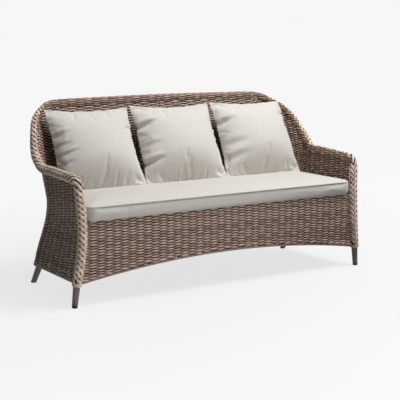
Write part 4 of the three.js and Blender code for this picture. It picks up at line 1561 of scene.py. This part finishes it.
def subdivide(piece: Object) -> None:
    """Adds one level of subdivision and applies it.

    Args:
        piece: the piece.
    """
    modifier = piece.modifiers.new("subdivision", "SUBSURF")
    modifier.levels = 1
    modifier.render_levels = 1
    apply_modifiers(piece)


@dataclass(frozen=True)
class Crease:
    """A fold pressed into a pillow's front: where it starts and ends, how wide and how deep it is."""

    start: Pair
    end: Pair
    width: float
    depth: float


@dataclass(frozen=True)
class PillowShape:
    """What tells one pillow from the next.

    An ear is a side, an end and how far out and up its corner lies. A notch is a side, its place up the
    seam, how far out the seam goes there and over what share of its height.
    """

    seed: int
    creases: tuple
    ears: tuple
    notches: tuple
    left_pull: float
    right_pull: float


@dataclass
class Pillow:
    """One loose pillow: knife edges drawn in between pointed corners, a full crown, and its own creases.

    Its back is the front's mirror image; only the front gets the creases, and both get the gathers.
    """

    place: str
    finishes: Finishes
    shape: PillowShape
    half_height: float = 0.208
    half_depth: float = 0.086
    lean: float = math.radians(24.4)
    top_pull: float = 0.080
    bottom_pull: float = 0.020
    taper: float = 0.02
    side_power: float = 0.60
    upper_power: float = 0.60
    lower_power: float = 1.20
    power_ease: float = 0.3
    sag: float = 0.26
    ear_power: float = 4.0
    notch_reach: float = 0.12
    cells: int = 88
    fill: float = 0.7
    crease_start: float = 0.12
    crease_end: Pair = (0.4, 1.0)
    ridge_place: float = 1.7
    ridge_width: float = 1.2
    ridge_share: float = 0.7
    gather_turns: tuple = (5.0, 8.0, 13.0)
    gather_skew: float = 2.5
    gather_strength: Pair = (0.5, 1.0)
    gather_depth: float = 0.0015
    gather_start: float = 0.05
    gather_reach: float = 0.10
    ripple_reach: float = 0.03
    edge_ripple: float = 0.0018
    inflation: Inflation = Inflation(growth=0.018, cap=0.014, bending=1.5)

    def grid(self) -> tuple[Array, Array, Array]:
        """The two faces of the pillow, welded along their edges.

        With u and v from -1 to 1, x is half the width times u, drawn in by pull (1 - v^2), and z is half the
        height times v, drawn in by pull (1 - u^2), less along the bottom. The crown is (1 - u^2) to the side
        power times (1 - w^2) to the upper or lower power, with w = v + sag (1 - v^2), which puts the fullest
        place below the middle. Each ear moves its corner by the bilinear weight to the ear power, and each
        notch its seam by e^-((v - height) / reach)^2 times e^-(1 - |u|) / notch_reach.

        Returns:
            Points, faces, and the places: rows of u, v and sign, -1 in front, 1 behind and 0 on the seam.
        """
        low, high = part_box(f"pillow_cover_{self.place}")
        half_width = (high.x - low.x) / 2 / (1 + self.taper)
        share = np.sin(np.pi / 2 * np.linspace(-1, 1, self.cells + 1))
        u, v = np.meshgrid(share, share, indexing="ij")
        low_v = v + self.sag * (1 - v**2)
        ease = smooth_step(-self.power_ease, self.power_ease, low_v)
        power = blend_between(self.lower_power, self.upper_power, ease)
        crown = np.clip(1 - u**2, 0, 1) ** self.side_power * np.clip(1 - low_v**2, 0, 1) ** power
        side_pull = blend_between(self.shape.left_pull, self.shape.right_pull, (1 + u) / 2)
        end_pull = blend_between(self.bottom_pull, self.top_pull, (1 + v) / 2)
        x = half_width * u * (1 - side_pull * (1 - v**2)) * (1 - self.taper * v)
        z = self.half_height * v * (1 - end_pull * (1 - u**2))
        for side, end, out, up in self.shape.ears:
            near = ((1 + side * u) * (1 + end * v) / 4) ** self.ear_power
            x, z = x + out * near, z + up * near
        for side, height, out, reach in self.shape.notches:
            near = np.exp(-(((v - height) / reach) ** 2) - (1 - side * u) / self.notch_reach)
            x = x + side * out * near
        front = np.stack([x, -self.half_depth * crown, z], axis=-1)
        back = np.stack([x, self.half_depth * crown, z], axis=-1)
        size = self.cells + 1
        index = np.arange(size * size).reshape(size, size)
        inner = np.zeros((size, size), bool)
        inner[1:-1, 1:-1] = True
        behind = index.copy()
        behind[inner] = size * size + np.arange(inner.sum())
        quads, back_quads = (
            np.stack([item[:-1, :-1], item[1:, :-1], item[1:, 1:], item[:-1, 1:]], axis=-1).reshape(-1, 4)
            for item in (index, behind))
        points = np.vstack([front.reshape(-1, 3), back[inner]])
        along, up = (np.concatenate([item.ravel(), item[inner]]) for item in (u, v))
        sign = np.concatenate([np.full(size * size, -1.0), np.ones(inner.sum())])
        sign[:size * size][~inner.ravel()] = 0
        return points, np.vstack([quads, back_quads[:, ::-1]]), np.stack([along, up, sign])

    def creased(self, points: Array, places: Array) -> Array:
        """Presses the creases in: each is a groove beside a ridge, fading in and out along its line.

        Across the line the groove is e^-(a / width)^2 deep, and the ridge has the same form beside it.

        Args:
            points: the pillow's points round its own middle.
            places: their places, as the grid gives them.

        Returns:
            The moved points.
        """
        u, v, sign = places
        moved = points.copy()
        for crease in self.shape.creases:
            run = np.array(crease.end) - np.array(crease.start)
            reach = np.hypot(*run)
            from_u, from_v = u - crease.start[0], v - crease.start[1]
            along = (from_u * run[0] + from_v * run[1]) / reach**2
            across = (from_v * run[0] - from_u * run[1]) / reach
            fade = smooth_step(-self.crease_start, self.crease_start, along)
            fade = fade * (1 - smooth_step(*self.crease_end, along))
            groove = np.exp(-((across / crease.width) ** 2))
            beside = across - self.ridge_place * crease.width
            ridge = np.exp(-((beside / (self.ridge_width * crease.width)) ** 2))
            moved[:, 1] += np.where(sign < 0, crease.depth * fade * (groove - self.ridge_share * ridge), 0)
        return moved

    def gathered(self, points: Array, places: Array) -> Array:
        """Adds the short gathers that run in from the seams: waves along each seam, dying away from it.

        Args:
            points: the pillow's points round its own middle.
            places: their places, as the grid gives them.

        Returns:
            The moved points.
        """
        u, v, sign = places
        random = np.random.default_rng(self.shape.seed)
        moved = points.copy()
        for here, along, axis in ((u, v, 0), (v, u, 2)):
            for edge in (-1, 1):
                away = 1 - edge * here
                wave = np.zeros_like(u)
                for turns in self.gather_turns:
                    phase = random.uniform(0, 2 * np.pi)
                    bent = np.pi * turns * along + phase + self.gather_skew * along**2
                    wave += np.sin(bent) / len(self.gather_turns)
                strength = random.uniform(*self.gather_strength)
                fade = np.exp(-away / self.gather_reach) * np.clip(away / self.gather_start, 0, 1)
                moved[:, 1] += sign * self.gather_depth * strength * fade * (1 - along**4) * wave
                on_seam = np.exp(-away / self.ripple_reach) * (1 - along**4)
                moved[:, axis] += edge * self.edge_ripple * on_seam * wave
        return moved

    def build(self) -> None:
        """Builds, inflates, creases and places the pillow."""
        points, quads, places = self.grid()
        piece = make_mesh(f"pillow_{self.place}", points, [quads])
        write_points(piece, self.inflation.run(piece, places[2] == 0))
        shaped = self.gathered(self.creased(read_points(piece), places), places)
        low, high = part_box(f"pillow_cover_{self.place}")
        centre = (np.array(low) + np.array(high)) / 2
        cos, sin = math.cos(self.lean), math.sin(self.lean)
        placed = np.stack([shaped[:, 0], shaped[:, 1] * cos + shaped[:, 2] * sin,
                           -shaped[:, 1] * sin + shaped[:, 2] * cos], axis=1) + centre
        write_points(piece, placed)
        subdivide(piece)
        nodes = (f"pillow_cover_{self.place}", f"pillow_pad_{self.place}")
        finish_piece(piece, f"pillow_{self.place}", self.finishes.cloth, nodes)


def pillow_shapes() -> dict[str, PillowShape]:
    """The three pillows: folds in from the left seam, tucks near the lower corners, ears and notches.

    Returns:
        The shape for each place.
    """
    left = PillowShape(seed=11, left_pull=0.080, right_pull=0.078, creases=(
        Crease((-1.02, 0.30), (-0.55, 0.40), 0.045, 0.0075),
        Crease((-1.02, 0.04), (-0.62, 0.12), 0.040, 0.0070),
        Crease((-1.02, -0.20), (-0.45, -0.08), 0.040, 0.0085),
        Crease((-1.02, -0.44), (-0.60, -0.32), 0.045, 0.0065),
        Crease((-1.0, 1.0), (-0.45, 0.76), 0.080, 0.0035),
        Crease((1.02, 0.44), (0.72, 0.36), 0.045, 0.0080),
        Crease((-0.46, -1.0), (-0.42, -0.70), 0.026, 0.0050),
        Crease((-0.10, -1.0), (-0.04, -0.78), 0.030, 0.0060),
        Crease((0.28, -1.0), (0.29, -0.60), 0.026, 0.0070),
        Crease((0.52, -1.0), (0.50, -0.78), 0.026, 0.0050),
        Crease((1.0, -1.0), (0.66, -0.78), 0.060, 0.0080),
    ), ears=((1, 1, -0.006, -0.004), (-1, 1, 0.002, 0.002), (1, -1, 0.006, 0.004)),
        notches=((1, 0.50, 0.006, 0.06), (1, 0.36, -0.005, 0.05)))
    centre = PillowShape(seed=12, left_pull=0.020, right_pull=0.060, creases=(
        Crease((-1.02, 0.40), (-0.42, 0.58), 0.058, 0.0150),
        Crease((-1.02, -0.52), (-0.52, -0.40), 0.056, 0.0180),
        Crease((-1.0, 0.98), (-0.5, 0.80), 0.080, 0.0070),
        Crease((-0.95, -0.10), (-0.5, -0.02), 0.060, 0.0060),
        Crease((-0.18, -1.0), (-0.18, -0.64), 0.024, 0.0050),
        Crease((0.06, -1.0), (0.10, -0.80), 0.030, 0.0070),
        Crease((0.45, -1.0), (0.43, -0.72), 0.026, 0.0060),
        Crease((1.02, 0.30), (0.78, 0.24), 0.040, 0.0060),
        Crease((1.0, -1.0), (0.66, -0.76), 0.060, 0.0080),
    ), ears=((-1, 1, -0.010, 0.004), (1, 1, -0.004, -0.002), (1, -1, 0.004, 0.004)),
        notches=((-1, 0.42, -0.012, 0.07), (-1, -0.50, -0.018, 0.06), (1, 0.24, 0.004, 0.04),
                 (1, 0.02, 0.004, 0.04), (1, -0.30, 0.003, 0.05)))
    right = PillowShape(seed=13, left_pull=0.035, right_pull=0.072, creases=(
        Crease((-1.02, 0.36), (-0.46, 0.54), 0.068, 0.0120),
        Crease((-1.0, 0.98), (-0.45, 0.78), 0.080, 0.0080),
        Crease((-0.95, -0.22), (-0.35, -0.12), 0.085, 0.0070),
        Crease((-1.0, -0.60), (-0.35, -0.40), 0.080, 0.0090),
        Crease((1.02, 0.62), (0.74, 0.52), 0.045, 0.0080),
        Crease((0.42, -1.0), (0.42, -0.74), 0.026, 0.0050),
        Crease((0.63, -1.0), (0.60, -0.68), 0.030, 0.0070),
        Crease((1.0, -1.0), (0.68, -0.78), 0.060, 0.0070),
    ), ears=((1, 1, -0.024, -0.008), (-1, 1, -0.010, 0.002)),
        notches=((1, 0.70, 0.006, 0.07), (1, 0.55, -0.004, 0.05), (-1, 0.40, -0.006, 0.08)))
    return {"left": left, "centre": centre, "right": right}


@dataclass
class SeatCushion:
    """The box cushion: a crowned top, rounded front corners, drawn-in front and sides, and piped edges."""

    form: SofaForm
    finishes: Finishes
    boxing: float = 0.068
    crown: float = 0.024
    crown_reach: float = 0.185
    crown_power: float = 2.4
    front_radius: float = 0.036
    rear_radius: float = 0.075
    pull: float = 0.004
    edge_round: float = 0.007
    base_round: float = 0.013
    bulge: float = 0.001
    piping_radius: float = 0.0025
    piping_step: float = 0.006
    piping_sides: int = 8
    piping_seed: int = 5
    piping_shares: Pair = (0.75, 0.35)
    corner_steps: int = 10
    edge_steps: tuple = (40, 120)
    base_insets: tuple = (0.20, 0.12, 0.04)
    base_degrees: tuple = (0, 30, 60, 90)
    seam_share: float = 0.3
    crown_steps: int = 14
    voxel: float = 0.0065
    fill: float = 0.85
    inflation: Inflation = Inflation(growth=0.006, cap=0.003, bending=1.0, pressure=1.5)

    def ring(self, inset: float, height: float) -> Array:
        """One ring of the cushion, set in from its outline, with its front and sides drawn in.

        Each corner is a quarter circle and each edge a straight line less pull (1 - t^2) inward.

        Args:
            inset: how far inside the outline.
            height: the ring's height.

        Returns:
            The ring's points, in order.
        """
        low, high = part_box("seat_cushion_cover")
        half_width = (high.x - low.x) / 2 - self.bulge
        front, back = low.y + self.bulge, high.y - self.bulge
        corners = ((1, -1, self.front_radius, self.pull), (1, 1, self.rear_radius, 0.0),
                   (-1, 1, self.rear_radius, self.pull), (-1, -1, self.front_radius, self.pull))
        arcs = []
        for number, (to_x, to_y, full, _) in enumerate(corners):
            radius = max(full - inset, self.edge_round)
            x = to_x * (half_width - inset - radius)
            y = back - inset - radius if to_y > 0 else front + inset + radius
            angle = np.pi / 2 * (number - 1 + np.linspace(0, 1, self.corner_steps + 1))
            arcs.append(np.stack([x + radius * np.cos(angle), y + radius * np.sin(angle)], axis=1))
        pieces = []
        for number, arc in enumerate(arcs):
            after = arcs[(number + 1) % 4][0]
            steps = self.edge_steps[number % 2]
            share = (np.arange(1, steps) / steps)[:, None]
            pull = corners[number][3] * (1 - (2 * share - 1) ** 2)
            angle = np.pi / 2 * number
            inward = -np.array([np.cos(angle), np.sin(angle)])
            pieces += [arc, arc[-1] + (after - arc[-1]) * share + pull * inward]
        plan = np.vstack(pieces)
        return np.column_stack([plan, np.full(len(plan), height)])

    def rings(self) -> list[Array]:
        """The rings from the underside up the boxing and over the crown.

        The crown rises by crown (1 - (1 - s)^crown_power), with s from 0 at the seam to 1 at crown_reach.

        Returns:
            The rings, each an array of points.
        """
        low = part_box("seat_cushion_cover")[0].z
        seam = low + self.boxing
        rings = [self.ring(self.base_round + inset, low) for inset in self.base_insets]
        for angle in np.radians(self.base_degrees):
            rings.append(self.ring(self.base_round * (1 - math.sin(angle)),
                                   low + self.base_round * (1 - math.cos(angle))))
        near = self.edge_round * self.seam_share
        rings += [self.ring(-self.bulge, (low + seam) / 2), self.ring(0.0, seam - self.edge_round),
                  self.ring(near, seam - near)]
        for share in np.linspace(0, 1, self.crown_steps):
            rise = self.crown * (1 - (1 - share) ** self.crown_power)
            rings.append(self.ring(self.edge_round + share * self.crown_reach, seam + rise))
        return rings

    def cushion(self) -> Object:
        """The cushion's body: its rings joined, remeshed and blown up a little, its base kept level.

        Returns:
            The new object.
        """
        rings = self.rings()
        size = len(rings[0])
        points = np.vstack(rings + [rings[0].mean(axis=0), rings[-1].mean(axis=0)])
        band = np.arange(len(rings) - 1)[:, None] * size
        here = np.arange(size)[None]
        after = (here + 1) % size
        quads = np.stack([band + here, band + after, band + size + after, band + size + here], axis=-1)
        bottom, top = len(points) - 2, len(points) - 1
        last = (len(rings) - 1) * size
        ends = np.concatenate([np.stack([np.full(size, bottom), after[0], here[0]], axis=1),
                               np.stack([np.full(size, top), last + here[0], last + after[0]], axis=1)])
        piece = make_mesh("seat_cushion", points, [quads.reshape(-1, 4), ends])
        remesh = piece.modifiers.new("remesh", "REMESH")
        remesh.mode = "VOXEL"
        remesh.voxel_size = self.voxel
        apply_modifiers(piece)
        floor = read_points(piece)[:, 2].min()
        blown = self.inflation.run(piece)
        blown[:, 2] = np.maximum(blown[:, 2], floor)
        write_points(piece, blown)
        subdivide(piece)
        return piece

    def piping(self, name: str, node: str, inset: float) -> None:
        """Builds a cord of piping round the cushion, at the middle height of its solid.

        Args:
            name: the piece's name.
            node: the node that it replaces.
            inset: how far inside the outline it lies.
        """
        low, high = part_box(node)
        line = self.ring(inset, (low.z + high.z) / 2)
        closed = np.vstack([line, line[:1]])
        lengths = arc_lengths(closed)
        run = np.linspace(0, lengths[-1], round(lengths[-1] / self.piping_step) + 1)
        bundle = StrandBundle(self.piping_sides, self.piping_seed)
        bundle.add(read_along(run, lengths, closed), UP, self.piping_radius, self.piping_radius, 1)
        bundle.make(name, self.finishes.piping, (node,), body=SEAT_BODY)

    def build(self) -> None:
        """Builds the cushion and its two cords of piping."""
        piece = self.cushion()
        nodes = ("seat_cushion_cover", "seat_cushion_foam")
        finish_piece(piece, SEAT_BODY, self.finishes.cloth, nodes)
        low_share, high_share = self.piping_shares
        self.piping("seat_piping_low", "seat_piping_bottom", self.base_round * low_share)
        self.piping("seat_piping_high", "seat_piping_top", self.edge_round * high_share)


@dataclass(frozen=True)
class Lamp:
    """A square soft light: where it hangs, the point that it faces, its side and its power in watts."""

    name: str
    place: Triple
    aim: Triple
    size: float
    power: float

    def hang(self) -> None:
        """Adds the light to the scene, out of the camera's sight."""
        data = bpy.data.lights.new(self.name, "AREA")
        data.size = self.size
        data.energy = self.power
        lamp = bpy.data.objects.new(self.name, data)
        bpy.context.scene.collection.objects.link(lamp)
        lamp.location = self.place
        lamp.visible_camera = False
        lamp.rotation_euler = (Vector(self.place) - Vector(self.aim)).to_track_quat("Z", "Y").to_euler()


@dataclass
class Studio:
    """A pale floor, soft lights and the camera at the photograph's angle."""

    lens: float = 99.0
    place: Triple = (-2.947, -4.639, 1.264)
    tilt_degrees: float = 80.819
    turn_degrees: float = -32.875
    far_sight: float = 100.0
    floor_reach: float = 400.0
    floor_tone: float = 0.14
    floor_roughness: float = 0.9
    paper: float = 0.9225
    far_glow: float = 0.905
    lamp_share: float = 0.165
    lamp_height: float = 3.6
    fill_light: float = 0.13
    lamps: tuple = (
        Lamp("key_light", (1.2, -1.35, 4.2), (0, 0, 0.4), 2.2, 200),
        Lamp("front_light", (3.4, -3.9, 2.9), (0, 0, 0.4), 2.2, 40),
        Lamp("floor_glow", (-0.7, -1.35, 0.02), (-0.7, -1.35, 1.0), 2.0, 8.5),
        Lamp("back_light", (-0.6, 3.7, 2.6), (0, 0, 0.4), 2.2, 14),
    )

    def floor(self) -> None:
        """A level floor as pale as the air behind it, so that no edge shows.

        Its glow is far_glow less lamp_share / (1 + (r / lamp_height)^2)^2, because the lamps' own light on
        it falls off in that way with the distance r from the middle.
        """
        corners = np.array([[-1, -1, 0], [1, -1, 0], [1, 1, 0], [-1, 1, 0]])
        piece = make_mesh("studio_floor", self.floor_reach * corners, [np.array([[0, 1, 2, 3]])])
        shader = Shader("studio_paper")
        where = shader.add("ShaderNodeTexCoord").outputs["Object"]
        reach = shader.add("ShaderNodeVectorMath", {"operation": "LENGTH"}, {0: where}).outputs["Value"]
        squared = shader.maths("POWER", shader.maths("DIVIDE", reach, self.lamp_height), 2.0)
        fall = shader.maths("POWER", shader.maths("ADD", squared, 1.0), -2.0)
        glow = shader.maths("MULTIPLY_ADD", fall, -self.lamp_share, self.far_glow)
        shader.feed("Base Color", (*(self.floor_tone,) * 3, 1))
        shader.feed("Roughness", self.floor_roughness)
        shader.feed("Specular IOR Level", 0.0)
        shader.feed("Emission Color", WHITE)
        shader.feed("Emission Strength", glow)
        piece.data.materials.append(shader.material)
        piece.visible_diffuse = False

    def air(self) -> None:
        """The air round the sofa: it gives a little light, and the camera sees it as pale as the floor."""
        world = bpy.data.worlds.new("studio_air")
        world.use_nodes = True
        nodes, links = world.node_tree.nodes, world.node_tree.links
        seen = nodes.new("ShaderNodeLightPath").outputs["Is Camera Ray"]
        strength = nodes.new("ShaderNodeMath")
        strength.operation = "MULTIPLY_ADD"
        links.new(seen, strength.inputs[0])
        strength.inputs[1].default_value = self.paper - self.fill_light
        strength.inputs[2].default_value = self.fill_light
        background = nodes["Background"]
        background.inputs[0].default_value = WHITE
        links.new(strength.outputs[0], background.inputs[1])
        bpy.context.scene.world = world

    def camera(self) -> None:
        """The camera, placed and aimed as the photograph's perspective gives it."""
        data = bpy.data.cameras.new("camera")
        data.lens = self.lens
        data.clip_end = self.far_sight
        camera = bpy.data.objects.new("camera", data)
        bpy.context.scene.collection.objects.link(camera)
        camera.location = self.place
        camera.rotation_euler = (math.radians(self.tilt_degrees), 0, math.radians(self.turn_degrees))
        bpy.context.scene.camera = camera

    def build(self) -> None:
        """Sets the whole studio up."""
        self.camera()
        self.floor()
        self.air()
        for lamp in self.lamps:
            lamp.hang()
        bpy.context.scene.view_settings.view_transform = "Standard"


def main() -> None:
    """Builds the studio and every sub-assembly in order."""
    Studio().build()
    form = SofaForm()
    rim = Rim(form)
    finishes = Finishes()
    MetalFrame(finishes).build()
    shell = WovenShell(form, rim, finishes)
    shell.build()
    WovenApron(shell).build()
    BraidedRoll(shell).build()
    RopeBorder(form, rim, finishes).build()
    SeatDeck(form, rim, finishes).build()
    SeatCushion(form, finishes).build()
    for place, shape in pillow_shapes().items():
        Pillow(place, finishes, shape).build()


if __name__ == "__main__":
    main()
